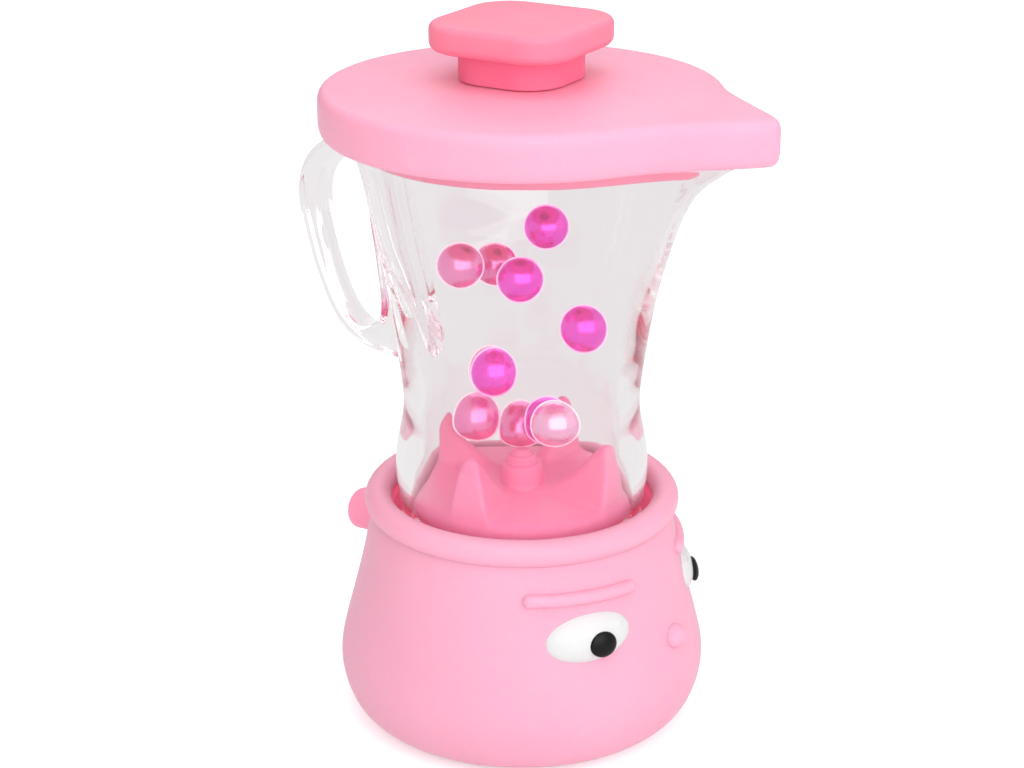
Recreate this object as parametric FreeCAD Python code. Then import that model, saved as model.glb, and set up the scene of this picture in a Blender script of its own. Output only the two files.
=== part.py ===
import FreeCAD, Part
from FreeCAD import Vector as V
import math
import os

os.makedirs("parts", exist_ok=True)

# ---------------------------------------------------------------------------
# Toy blender.  Millimetres, +Z up, origin on the pot's axis at the floor.
# The face and the pouring spout look along -Y, the handle and the button +Y.
# ---------------------------------------------------------------------------

# driving dimensions: base
FOOT_H = 0.8            # how far the foot ring lifts the shell off the floor
FOOT_R0, FOOT_R1 = 39.0, 43.5
POT_WALL = 2.4
POT_TOP = 75.3          # top edge of the pot shell, under the rim ring
# outer profile of the pot: (radius, height)
POT = [(47.6, 0.8), (51.0, 1.0), (53.4, 1.5), (55.3, 2.2), (57.7, 3.8), (60.4, 7.0),
       (62.4, 11.4), (63.7, 16.5), (64.1, 21.6), (63.6, 26.5), (62.7, 30.6), (61.5, 35.4),
       (60.0, 41.0), (58.4, 47.1), (57.0, 52.7), (55.4, 59.3), (54.5, 63.6), (53.8, 67.5),
       (52.8, 71.5), (51.95, 75.3)]
RIM_R, RIM_TUBE, RIM_Z = 50.0, 4.6, 79.5
SOCKET_R, SOCKET_WALL = 45.2, 1.6
SOCKET_FLOOR = 60.5
COVER_R = 47.2
POST_R, POST_C = 3.5, 24.4

# drive
MODULE, TEETH_BIG, TEETH_SMALL = 0.8, 48, 16
CENTRES = MODULE * (TEETH_BIG + TEETH_SMALL) / 2.0
GEAR_Z, GEAR_H = 49.4, 4.4
PLATE_Z, PLATE_H = 45.6, 2.0
SHAFT_R, BUSH_CLEAR = 2.0, 0.05
COUPLING_R = 10.0

# button
BUTTON_Z, BUTTON_R, BUTTON_END, BUTTON_TRAVEL = 59.0, 7.5, 70.5, 2.5

# jar: outer radius by height, and how far the spout stands out of it
JAR_BOTTOM, JAR_TOP = 60.8, 209.1
JAR_FLOOR_LOW, JAR_FLOOR_TOP = 69.0, 71.5
JAR_R = [(60.8, 41.2), (75.0, 41.8), (83.0, 42.8), (90.0, 43.6), (98.0, 43.2), (106.0, 41.7), (113.0, 40.6),
         (120.0, 40.7), (128.0, 41.6), (136.0, 42.6), (146.0, 43.9), (156.0, 45.4), (166.0, 47.4),
         (176.0, 49.4), (186.0, 51.3), (196.0, 53.4), (204.0, 55.6), (209.1, 57.2)]
SPOUT_S = [(60.8, 0.0), (130.0, 0.0), (140.0, 0.5), (150.0, 1.2), (160.0, 2.0), (168.0, 2.9),
           (176.0, 4.2), (184.0, 5.9), (192.0, 8.4), (198.0, 11.6), (204.0, 17.3), (209.1, 23.4)]
SPOUT_W = [(60.8, 24.0), (160.0, 24.0), (185.0, 18.0), (209.1, 12.0)]
# the clear wall is thickest round the waist
WALL = [(60.0, 4.6), (75.0, 4.9), (83.0, 6.0), (90.0, 7.4), (98.0, 8.3), (106.0, 7.5), (113.0, 6.8), (120.0, 6.9),
        (128.0, 6.6), (136.0, 6.2), (146.0, 5.6), (156.0, 4.8), (166.0, 4.2), (176.0, 3.8), (209.1, 3.4)]

# impeller
DISH_R, FIN_TOP = 36.0, 104.7
FINS = 4

# lid
LID_LOW, LID_TOP, LID_R, LID_CROWN = 209.4, 224.7, 66.8, 2.6
PLUG_LOW, PLUG_GAP = 204.2, 0.5
# how the lid's edge is rounded: (height, inset)
LID_EDGE = [(209.4, 3.0), (209.8, 2.0), (210.7, 1.05), (212.0, 0.4), (213.8, 0.0), (217.5, 0.0),
            (221.3, 0.0), (222.7, 0.3), (223.8, 1.0), (224.45, 2.0), (224.7, 3.2)]
KNOB_HALF, KNOB_CORNER, KNOB_LOW, KNOB_TOP = 26.0, 14.9, 237.2, 247.3
NECK_HALF, NECK_CORNER, NECK_LOW = 18.8, 13.6, 227.5

# pearls: radius, centres at rest
PEARL_R = 8.0
PEARLS = [
    (19.8, 1.6, 171.1),
    (-20.5, 11.5, 166.8),
    (2.4, 11.9, 160.5),
    (-10.6, -5.6, 161.8),
    (-1.9, -24.7, 145.1),
    (-13.4, 3.1, 128.3),
    (5.6, 16.4, 119.3),
    (-12.8, 10.2, 111.3),
    (10.6, 6.6, 100.7),
    (-13.7, -20.2, 115.1),
    (0.1, -10.1, 109.4),
]


# ---------------------------------------------------------------------------
# helpers
# ---------------------------------------------------------------------------
def save(name, shape):
    if isinstance(shape, (list, tuple)):
        solids = []
        for s in shape:
            solids += s.Solids
        shape = Part.makeCompound(solids) if len(solids) > 1 else solids[0]
    if shape.ShapeType == "Compound" and len(shape.Solids) == 1:
        shape = shape.Solids[0]
    if not shape.isValid():
        print("INVALID", name)
    shape.exportStep("parts/" + name + ".step")
    bb = shape.BoundBox
    print("%-20s solids %2d  vol %9.1f  x %.1f..%.1f y %.1f..%.1f z %.1f..%.1f" % (
        name, len(shape.Solids), shape.Volume, bb.XMin, bb.XMax, bb.YMin, bb.YMax, bb.ZMin, bb.ZMax))
    return shape


def cyl(r, z0, z1, x=0.0, y=0.0):
    return Part.makeCylinder(r, z1 - z0, V(x, y, z0))


def tube(ro, ri, z0, z1, x=0.0, y=0.0):
    return cyl(ro, z0, z1, x, y).cut(cyl(ri, z0 - 1, z1 + 1, x, y))


def box(x0, x1, y0, y1, z0, z1):
    return Part.makeBox(x1 - x0, y1 - y0, z1 - z0, V(x0, y0, z0))


def ycyl(r, y0, y1, x, z):
    return Part.makeCylinder(r, y1 - y0, V(x, y0, z), V(0, 1, 0))


def xcyl(r, x0, x1, y, z):
    return Part.makeCylinder(r, x1 - x0, V(x0, y, z), V(1, 0, 0))


def turned(edges):
    """A solid of revolution about Z from a closed chain of edges in the XZ plane."""
    face = Part.Face(Part.Wire(edges))
    s = face.revolve(V(0, 0, 0), V(0, 0, 1), 360)
    s = Part.Solid(s.Shells[0]) if s.ShapeType != "Solid" else s
    if s.Volume < 0:
        s.reverse()
    return s


def turned_poly(pts):
    vs = [V(r, 0, z) for r, z in pts]
    return turned([Part.LineSegment(a, b).toShape() for a, b in zip(vs, vs[1:] + vs[:1])])


def spline(pts):
    c = Part.BSplineCurve()
    c.interpolate(pts)
    return c


def table(rows, z):
    if z <= rows[0][0]:
        return rows[0][1]
    for (z0, a), (z1, b) in zip(rows, rows[1:]):
        if z <= z1:
            return a + (b - a) * (z - z0) / (z1 - z0)
    return rows[-1][1]


def smooth_table(rows, z):
    """Monotone cubic through the rows."""
    xs = [r[0] for r in rows]
    ys = [r[1] for r in rows]
    n = len(xs)
    if z <= xs[0]:
        return ys[0]
    if z >= xs[-1]:
        return ys[-1]
    d = [(ys[i + 1] - ys[i]) / (xs[i + 1] - xs[i]) for i in range(n - 1)]
    m = [d[0]] + [0.0 if d[i - 1] * d[i] <= 0 else 2 * d[i - 1] * d[i] / (d[i - 1] + d[i]) for i in range(1, n - 1)] + [d[-1]]
    for i in range(n - 1):
        if z <= xs[i + 1]:
            h = xs[i + 1] - xs[i]
            t = (z - xs[i]) / h
            return ((1 + 2 * t) * (1 - t) ** 2 * ys[i] + t * (1 - t) ** 2 * h * m[i]
                    + t * t * (3 - 2 * t) * ys[i + 1] + t * t * (t - 1) * h * m[i + 1])


def pot_radius(z):
    return smooth_table([(b, a) for a, b in POT[1:]], z)


def pot_solid(extra, z_low=None, z_high=POT_TOP):
    """The pot's outer form as a full solid, its side pushed out by extra."""
    pts = [(r, z) for r, z in POT]
    out = []
    for i, (r, z) in enumerate(pts):
        a = pts[max(i - 1, 0)]
        b = pts[min(i + 1, len(pts) - 1)]
        tr, tz = b[0] - a[0], b[1] - a[1]
        n = math.hypot(tr, tz)
        out.append((r + extra * tz / n, z - extra * tr / n))
    out = [p for p in out if z_low is None or p[1] >= z_low]
    side = spline([V(r, 0, z) for r, z in out])
    a, b = out[0], out[-1]
    edges = [Part.LineSegment(V(0, 0, a[1]), V(a[0], 0, a[1])).toShape(), side.toShape(),
             Part.LineSegment(V(b[0], 0, b[1]), V(0, 0, b[1])).toShape(),
             Part.LineSegment(V(0, 0, b[1]), V(0, 0, a[1])).toShape()]
    return turned(edges)


def prism(pts, z0, z1):
    vs = [V(x, y, z0) for x, y in pts]
    w = Part.makePolygon(vs + [vs[0]])
    return Part.Face(w).extrude(V(0, 0, z1 - z0))


def smooth_prism(pts, z0, z1):
    c = Part.BSplineCurve()
    c.interpolate(Points=[V(x, y, z0) for x, y in pts], PeriodicFlag=True)
    return Part.Face(Part.Wire([c.toShape()])).extrude(V(0, 0, z1 - z0))


def offset_loop(pts, d):
    """A closed loop of points moved inwards by d along its normals."""
    n = len(pts)
    out = []
    for i in range(n):
        a, b = pts[i - 1], pts[(i + 1) % n]
        tx, ty = b[0] - a[0], b[1] - a[1]
        k = math.hypot(tx, ty)
        out.append((pts[i][0] - d * ty / k, pts[i][1] + d * tx / k))
    return out


def gear(teeth, z0, z1, phase, bore, backlash, hub=None):
    """Involute spur gear, 20 degrees."""
    m, al = MODULE, math.radians(20)
    rp = m * teeth / 2.0
    rb = rp * math.cos(al)
    ra, rf = rp + 0.92 * m, rp - 1.2 * m
    inv = math.tan(al) - al
    half = math.pi / (2 * teeth) - backlash / (2 * rp)

    def at(r):
        if r <= rb:
            return half + inv
        a = math.acos(rb / r)
        return half + inv - (math.tan(a) - a)

    pts = []
    lo = max(rb, rf)
    rs = [lo + (ra - lo) * k / 5.0 for k in range(6)]
    for t in range(teeth):
        c = phase + 2 * math.pi * t / teeth
        left = [(rf, -min(at(rf), math.pi / teeth * 0.97))] if rf < lo else []
        left += [(r, -at(r)) for r in rs]
        for r, a in left:
            pts.append((r * math.cos(c + a), r * math.sin(c + a)))
        for r, a in reversed(left):
            pts.append((r * math.cos(c - a), r * math.sin(c - a)))
    g = prism(pts, z0, z1)
    if hub:
        g = g.fuse(cyl(hub[0], hub[1], hub[2]))
    return g.cut(cyl(bore, z0 - 10, z1 + 10))


def rounded_square(half, corner, z0, z1):
    b = box(-half, half, -half, half, z0, z1)
    up = [e for e in b.Edges if abs(e.Vertexes[0].Z - e.Vertexes[1].Z) > 1e-6]
    return b.makeFillet(corner, up)


# ---------------------------------------------------------------------------
# base: casings
# ---------------------------------------------------------------------------
pot_outer = pot_solid(0.0)
pot_inner = pot_solid(-POT_WALL, z_low=3.2, z_high=90)
# the hollow of the pot, straight at the top so that the socket's flange fits in it
hollow = pot_inner.common(cyl(90, 3.2, POT_TOP + 5))
hollow = hollow.fuse(cyl(49.5, 70.0, POT_TOP + 5)).fuse(cyl(COVER_R + 0.2, -1, 6.0))
shell = pot_outer.cut(hollow)
shell = shell.cut(ycyl(BUTTON_R + 0.25, 40, 80, 0, BUTTON_Z))
save("base_shell", shell.removeSplitter())

rim = Part.makeTorus(RIM_R, RIM_TUBE, V(0, 0, RIM_Z)).cut(cyl(80, 60, POT_TOP))
save("rim_collar", rim)

floor_z0 = SOCKET_FLOOR - 2.0
cup = cyl(SOCKET_R + SOCKET_WALL, floor_z0, POT_TOP).cut(cyl(SOCKET_R, SOCKET_FLOOR, POT_TOP + 1))
cup = cup.fuse(tube(49.4, SOCKET_R, POT_TOP - 1.5, POT_TOP))
posts = [(POST_C, POST_C), (-POST_C, POST_C), (-POST_C, -POST_C), (POST_C, -POST_C)]
for x, y in posts:
    cup = cup.fuse(cyl(POST_R, 3.0, floor_z0 + 0.5, x, y))
short = [(0.0, -29.0), (-30.5, 7.0), (30.5, 7.0)]
for x, y in short:
    cup = cup.fuse(cyl(3.0, PLATE_Z + PLATE_H, floor_z0 + 0.5, x, y))
for x, y in posts:
    cup = cup.cut(cyl(1.15, 2.0, 15.0, x, y))
for x, y in short:
    cup = cup.cut(cyl(0.9, PLATE_Z, 55.0, x, y))
cup = cup.cut(cyl(5.0, 50, 70))
save("jar_socket", cup)

# bottom cover with the battery opening, screw holes and the groove for the foot ring
BX, BY = 28.75, 15.25          # battery box, inside
cover = cyl(COVER_R, FOOT_H, 3.0)
cover = cover.cut(tube(FOOT_R1, FOOT_R0, 0.0, FOOT_H + 1.0))
cover = cover.cut(box(-BX - 1.5, BX + 1.5, -BY - 1.5, BY + 1.5, 0, 2.2))
cover = cover.cut(box(-BX + 1.2, BX - 1.2, -BY + 0.2, BY - 0.2, 0, 4.0))
for x, y in posts:
    cover = cover.cut(cyl(1.6, 0, 5, x, y))
    cover = cover.cut(cyl(3.0, 0, 1.9, x, y))
cover = cover.cut(cyl(1.2, 0, 5, 0, BY + 4.0))
save("bottom_cover", cover)
save("foot_ring", tube(FOOT_R1, FOOT_R0, 0.0, FOOT_H + 1.0))


def screw(x, y, z_head, head_r, head_h, r, length):
    s = cyl(head_r, z_head, z_head + head_h, x, y)
    s = s.fuse(cyl(r, z_head + head_h, z_head + head_h + length, x, y))
    slot = box(x - head_r * 0.62, x + head_r * 0.62, y - 0.28, y + 0.28, z_head - 1, z_head + 0.55)
    slot = slot.fuse(box(x - 0.28, x + 0.28, y - head_r * 0.62, y + head_r * 0.62, z_head - 1, z_head + 0.55))
    return s.cut(slot)


save("cover_screws", [screw(x, y, 0.9, 2.8, 1.0, 1.15, 11.0) for x, y in posts])

# battery box, cells, contacts, door
bz0, bz1 = 3.0, 20.2
bbox = box(-BX - 1.5, BX + 1.5, -BY - 1.5, BY + 1.5, bz0, bz1).cut(box(-BX, BX, -BY, BY, bz0 - 1, bz1 - 1.4))
bbox = bbox.fuse(box(-22, 22, -0.35, 0.35, 14.5, bz1 - 1.0))
lug = box(-5, 5, BY + 1.5, BY + 7.5, bz0, bz0 + 4.5).cut(cyl(0.9, 0, 7.0, 0, BY + 4.0))
bbox = bbox.fuse(lug)
save("battery_box", bbox)
CELL_R, CELL_Z = 7.1, 10.7
cells = []
for sy, sx in ((-7.5, 1), (7.5, -1)):
    c = xcyl(CELL_R, -24.2, 24.2, sy, CELL_Z)
    c = c.fuse(xcyl(2.7, 24.2 if sx > 0 else -25.4, 25.4 if sx > 0 else -24.2, sy, CELL_Z))
    cells.append(c)
save("batteries", cells)
contacts = []
for sy, sx in ((-7.5, 1), (7.5, -1)):
    for side in (1, -1):
        x_in, x_out = (BX - 0.5, BX) if side > 0 else (-BX, -BX + 0.5)
        p = box(x_in, x_out, sy - 5.5, sy + 5.5, CELL_Z - 5.5, CELL_Z + 5.5)
        if side == sx:
            # plus end: a pressed button reaches the cell's nub
            b = xcyl(1.9, 25.4 if side > 0 else x_out - 0.0, x_in if side > 0 else -25.4, sy, CELL_Z)
            p = p.fuse(b)
        else:
            # minus end: three rings of a tapering coil
            for k, (rr, dx) in enumerate(((4.6, 0.45), (3.9, 1.35), (3.2, 2.25), (2.6, 3.15))):
                xc = (x_in - dx) if side > 0 else (x_out + dx)
                p = p.fuse(Part.makeTorus(rr, 0.48, V(xc, sy, CELL_Z), V(1, 0, 0)))
            xs = sorted((x_in - 3.4 if side > 0 else x_out + 3.4, x_in if side > 0 else x_out))
            p = p.fuse(xcyl(0.6, xs[0], xs[1], sy + 3.3, CELL_Z)).fuse(xcyl(0.6, xs[0], xs[1], sy - 3.3, CELL_Z))
        contacts.append(p)
save("battery_contacts", contacts)
door = box(-BX - 1.3, BX + 1.3, -BY - 1.3, BY + 1.3, FOOT_H, 2.2)
door = door.fuse(box(-BX + 1.4, BX - 1.4, -BY + 0.4, BY - 0.4, 2.1, 3.2))
tab = box(-5, 5, BY + 1.0, BY + 7.0, FOOT_H, 1.6)
cover_pocket = box(-5.2, 5.2, BY + 0.8, BY + 7.2, 0.0, 1.6)
cover = cover.cut(cover_pocket)
save("bottom_cover", cover)
door = door.fuse(tab).cut(cyl(1.2, 0, 5, 0, BY + 4.0))
for k in range(5):
    door = door.cut(box(-8 + 0.0, 8, -9.5 + 2.2 * k, -8.7 + 2.2 * k, 0, FOOT_H + 0.5))
save("battery_door", door)
save("door_screw", screw(0, BY + 4.0, 0.15, 2.0, 0.65, 0.9, 5.2))

# motor (flat-sided can), gear plate
MY = CENTRES
can = cyl(10.05, 20.6, PLATE_Z, 0, MY).common(box(-11, 11, MY - 7.55, MY + 7.55, 20, 60))
can = can.fuse(cyl(3.05, PLATE_Z - 0.5, PLATE_Z + 1.4, 0, MY))
can = can.cut(cyl(1.0 + BUSH_CLEAR, 36.0, 60, 0, MY))
for s in (1, -1):
    can = can.fuse(box(s * 6 - 1.2, s * 6 + 1.2, MY + 7.4, MY + 8.9, 22.0, 22.6))
save("motor", can)
plate = cyl(34.6, PLATE_Z, PLATE_Z + PLATE_H)
plate = plate.fuse(box(-13, 13, 10, MY + 10.5, PLATE_Z, PLATE_Z + PLATE_H))
for x, y in posts:
    plate = plate.cut(cyl(POST_R + 0.3, 40, 60, x, y))
for x, y in short:
    plate = plate.cut(cyl(1.2, 40, 60, x, y))
plate = plate.cut(cyl(3.05, 40, 60, 0, MY)).cut(cyl(4.0, 40, 60))
# two walls that hold the motor's can
for s in (1, -1):
    wall = box(min(s * 10.25, s * 11.9), max(s * 10.25, s * 11.9), MY - 5, MY + 5, 26.0, PLATE_Z + 0.5)
    plate = plate.fuse(wall)
save("gear_plate", plate)
save("plate_screws", [screw(x, y, PLATE_Z - 1.6, 2.2, 1.6, 0.9, 8.0) for x, y in short])

# spindle bushes: one in the plate, one in the socket's floor
lower = tube(4.0, SHAFT_R + BUSH_CLEAR, PLATE_Z - 1.0, PLATE_Z + 3.0)
lower = lower.fuse(tube(5.5, 4.0, PLATE_Z - 1.0, PLATE_Z))
upper = tube(5.0, SHAFT_R + BUSH_CLEAR, floor_z0 - 2.0, SOCKET_FLOOR + 1.0)
upper = upper.fuse(tube(6.5, 4.5, floor_z0 - 1.2, floor_z0))
save("spindle_bushes", [lower, upper])

# ---------------------------------------------------------------------------
# spindle and motor shaft
# ---------------------------------------------------------------------------
save("drive_spindle", cyl(SHAFT_R, PLATE_Z - 1.6, 64.2))
big = gear(TEETH_BIG, GEAR_Z, GEAR_Z + GEAR_H, math.pi / 2 + math.pi / TEETH_BIG, SHAFT_R, 0.14,
           hub=(5.0, GEAR_Z - 0.6, GEAR_Z + GEAR_H + 2.0))
for k in range(6):
    a = math.radians(60 * k + 30)
    big = big.cut(cyl(3.4, 40, 60, 11.5 * math.cos(a), 11.5 * math.sin(a)))
save("spindle_gear", big)
small = gear(TEETH_SMALL, GEAR_Z - 0.4, GEAR_Z + GEAR_H + 0.4, -math.pi / 2, 1.0, 0.14)
small.translate(V(0, MY, 0))
save("motor_pinion", small)
save("motor_shaft", cyl(1.0, 36.6, GEAR_Z + GEAR_H + 1.4, 0, MY))


def dogs(z0, z1, a0, span):
    out = None
    for k in range(3):
        ring = tube(COUPLING_R - 0.6, 4.6, z0, z1)
        a = a0 + 120 * k
        half = math.radians(span / 2.0)
        c, far = math.radians(a), 30.0
        wedge = prism([(0, 0), (far * math.cos(c - half), far * math.sin(c - half)),
                       (far * math.cos(c + half), far * math.sin(c + half))], z0 - 1, z1 + 1)
        piece = ring.common(wedge)
        out = piece if out is None else out.fuse(piece)
    return out


drive = cyl(COUPLING_R, 62.0, 64.2).fuse(dogs(64.0, 66.4, 90, 52)).cut(cyl(SHAFT_R, 60, 70))
save("drive_coupling", drive)
driven = cyl(COUPLING_R, 66.7, 68.4).fuse(dogs(64.5, 66.9, 30, 52)).cut(cyl(SHAFT_R, 60, 70))
save("driven_coupling", driven)

# ---------------------------------------------------------------------------
# button, switch
# ---------------------------------------------------------------------------
bt = ycyl(BUTTON_R, 50.4, BUTTON_END, 0, BUTTON_Z)
rim_edge = [e for e in bt.Edges if abs(e.BoundBox.YMin - BUTTON_END) < 1e-3 and abs(e.BoundBox.YMax - BUTTON_END) < 1e-3]
bt = bt.makeFillet(3.6, rim_edge)
bt = bt.fuse(ycyl(BUTTON_R + 0.9, 50.4, 51.2, 0, BUTTON_Z).common(box(-20, 20, 40, 60, BUTTON_Z - 9, BUTTON_Z + 6.5)))
bt = bt.cut(ycyl(5.6, 52.4, 65.5, 0, BUTTON_Z))
# the hollow opens at the back above the stem
bt = bt.cut(ycyl(5.6, 49.0, 53.0, 0, BUTTON_Z).common(box(-10, 10, 48, 54, BUTTON_Z - 0.4, BUTTON_Z + 10)))
STEM_Z = 54.6
bt = bt.fuse(ycyl(1.6, 44.6, 52.4, 0, STEM_Z))
save("power_button", bt)
# switch holder: an upright with a collar for the spring, on the bottom cover
hold = box(-6.5, 6.5, 44.9, 46.5, 3.0, 57.8)
hold = hold.fuse(box(-9.5, 9.5, 34.8, 46.5, 3.0, 5.0))
hold = hold.fuse(box(-6.5, 6.5, 36.5, 46.5, 46.8, 48.4))
for s in (1, -1):
    hold = hold.fuse(box(min(s * 5.1, s * 6.5), max(s * 5.1, s * 6.5), 37.5, 46.0, 5.0, 48.4))
hold = hold.cut(ycyl(1.9, 40, 60, 0, STEM_Z))
# keep inside the pot
hold = hold.common(pot_solid(-POT_WALL - 0.4, z_low=2.9).fuse(cyl(COVER_R, 2.5, 6)))
save("switch_holder", hold)
sw = box(-5.0, 5.0, 36.0, 41.6, 48.4, 57.4)
sw = sw.fuse(box(-1.5, 1.5, 41.6, 42.0, STEM_Z - 1.5, STEM_Z + 1.5))
for s in (-3.5, 0.0, 3.5):
    sw = sw.fuse(box(s - 0.5, s + 0.5, 33.6, 36.0, 52.6, 53.2))
save("micro_switch", sw)
# return spring around the stem, between the holder and the button
turns, wire = 3.0, 0.28
y0s, y1s = 46.5, 50.4
helix = Part.makeHelix((y1s - y0s - 2 * wire) / turns, y1s - y0s - 2 * wire, 3.0)
prof = Part.Wire([Part.makeCircle(wire, V(3.0, 0, 0), V(0, 1, 0))])
spring = Part.Wire(helix.Edges).makePipeShell([prof], True, True)
spring.rotate(V(0, 0, 0), V(1, 0, 0), -90)
spring.translate(V(0, y0s + wire, STEM_Z))
save("button_spring", spring)

# ---------------------------------------------------------------------------
# face: layers that follow the pot's curve
# ---------------------------------------------------------------------------
EYE_ANG, EYE_Z, EYE_ROLL, EYE_DEPTH = 36.7, 50.4, 7.0, 4.0
EYE_AXES = (16.6, 8.5, 7.3)         # along the pot, up, outwards
PUPIL_ANG, PUPIL_Z = 33.6, 48.6
PUPIL_AXES = (4.9, 4.4, 2.0)


def egg(axes, ang, z, r, lean, roll):
    """An ellipsoid about the point at angle ang from -Y, its third axis pointing outwards."""
    a = math.radians(-90 + ang)
    le, ro = math.radians(lean), math.radians(roll)
    out = V(math.cos(a) * math.cos(le), math.sin(a) * math.cos(le), math.sin(le))
    side = V(-math.sin(a), math.cos(a), 0)
    up = out.cross(side)
    sx = side * math.cos(ro) + up * math.sin(ro)
    ux = up * math.cos(ro) - side * math.sin(ro)
    c = V(r * math.cos(a), r * math.sin(a), z)
    p, q, w = sx * axes[0], ux * axes[1], out * axes[2]
    ball = Part.makeSphere(1.0)
    return ball.transformGeometry(FreeCAD.Matrix(p.x, q.x, w.x, c.x, p.y, q.y, w.y, c.y,
                                                 p.z, q.z, w.z, c.z, 0, 0, 0, 1))


LEAN = 14.0
for side, s in (("left", -1), ("right", 1)):
    white = egg(EYE_AXES, s * EYE_ANG, EYE_Z - 1.0, pot_radius(EYE_Z) - EYE_DEPTH * 0.97, LEAN, -s * EYE_ROLL)
    save("eye_white_" + side, white.cut(pot_outer))
    pup = egg(PUPIL_AXES, s * PUPIL_ANG, PUPIL_Z, pot_radius(PUPIL_Z) + 2.9, LEAN - 4, 0)
    save("pupil_" + side, pup.cut(white).cut(pot_outer))
    # brow: a bar bent round the pot
    BR, BT, BZ = 54.75, 1.95, 64.4
    a0, a1 = (17.4, 58.9)
    arc = None
    t = Part.makeTorus(BR, BT, V(0, 0, BZ), V(0, 0, 1), 0, 360, a1 - a0)
    lo = -90 - a1 if s < 0 else -90 + a0
    t.rotate(V(0, 0, 0), V(0, 0, 1), lo)
    for a in (a0, a1):
        aa = math.radians(-90 + s * a)
        t = t.fuse(Part.makeSphere(BT, V(BR * math.cos(aa), BR * math.sin(aa), BZ)))
    save("brow_" + side, t.cut(pot_outer))

nose = Part.makeSphere(1.0, V(0, 0, 0))
mat = FreeCAD.Matrix()
mat.scale(5.0, 3.0, 3.4)
nose = nose.transformGeometry(mat)
nose.translate(V(0, -60.3, 38.5))
save("nose", nose.cut(pot_outer))

# ---------------------------------------------------------------------------
# jar
# ---------------------------------------------------------------------------
NTH = 48


def jar_loop(z, inset=0.0, n=NTH):
    r0, s0, w = smooth_table(JAR_R, z), smooth_table(SPOUT_S, z), table(SPOUT_W, z)
    pts = []
    for k in range(n):
        th = -90 + 360.0 * k / n
        ph = 360.0 * k / n
        ph = ph if ph <= 180 else 360 - ph
        f = 1.0 / (1.0 + (ph / w) ** 2)
        f *= 0.5 + 0.5 * math.cos(math.pi * min(ph / 100.0, 1.0))
        r = r0 + s0 * f
        pts.append((r * math.cos(math.radians(th)), r * math.sin(math.radians(th))))
    return offset_loop(pts, inset) if inset else pts


def jar_loft(levels, inset):
    wires = []
    for z in levels:
        i = inset(z)
        pts = [V(x, y, z) for x, y in jar_loop(z, i)]
        c = Part.BSplineCurve()
        c.interpolate(Points=pts, PeriodicFlag=True,
                      Parameters=[k / float(NTH) for k in range(NTH + 1)])
        wires.append(Part.Wire([c.toShape()]))
    s = Part.makeLoft(wires, True, False)
    if s.Volume < 0:
        s.reverse()
    return s


def wall(z):
    return smooth_table(WALL, z)


LEVELS = [60.8, 75, 83, 90, 98, 106, 113, 120, 130, 142, 154, 166, 176, 186, 194, 200, 205, 209.1]
jar_outer = jar_loft(LEVELS, lambda z: 0.0)
jar_inner = jar_loft([71.5, 78, 84, 90, 98, 106, 113, 120, 130, 142, 154, 166, 176, 186, 194, 200, 205, 209.1], wall)
top_pts = jar_loop(209.1, wall(209.1))
jar = jar_outer.cut(jar_inner)
jar = jar.cut(cyl(36.9, 50.0, JAR_FLOOR_LOW)).cut(cyl(4.5, 60, 80))
save("jar_body", jar)
save("shaft_bush", tube(4.5, SHAFT_R + BUSH_CLEAR, 68.9, JAR_FLOOR_TOP + 0.3))

# handle: a closed loop of clear bar in the YZ plane, its inner leg against the jar
H_OUT = [(40, 203), (58, 203.5), (70, 200.5), (79, 195.5), (85, 188.5), (87.6, 180), (87.2, 171), (85.0, 161.5),
         (82.5, 152.5), (79.0, 143.5), (75.0, 135.5), (69.0, 128.8), (61.5, 124.5), (52.0, 122.3), (38, 121.5)]
H_IN = [(63.5, 193.5), (70.0, 191.6), (75.8, 187.0), (78.9, 179.5), (78.7, 171.0), (76.8, 162.5), (74.4, 154.0),
        (71.4, 145.8), (67.6, 138.4), (62.4, 133.0), (57.2, 132.6), (54.6, 138.0), (55.0, 150.0), (56.6, 162.0),
        (58.6, 175.0), (60.2, 186.5)]
H_W = 12.0


def yz_prism(pts, closed_smooth, x0, x1):
    vs = [V(x0, y, z) for y, z in pts]
    if closed_smooth:
        c = Part.BSplineCurve()
        c.interpolate(Points=vs, PeriodicFlag=True)
        w = Part.Wire([c.toShape()])
    else:
        c = spline(vs)
        w = Part.Wire([c.toShape(), Part.LineSegment(vs[-1], vs[0]).toShape()])
    return Part.Face(w).extrude(V(x1 - x0, 0, 0))


handle = yz_prism(H_OUT, False, -H_W / 2, H_W / 2).cut(yz_prism(H_IN, True, -H_W, H_W))
try:
    handle2 = handle.makeFillet(2.6, [e for e in handle.Edges if e.BoundBox.XLength < 1e-3 and e.BoundBox.YMax > 45])
    if handle2.isValid() and handle2.Volume > 1000:
        handle = handle2
except Exception as err:
    print("handle fillet", err)
handle = handle.cut(jar_outer)
keep = max(handle.Solids, key=lambda q: q.Volume)
save("jar_handle", keep)

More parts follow.
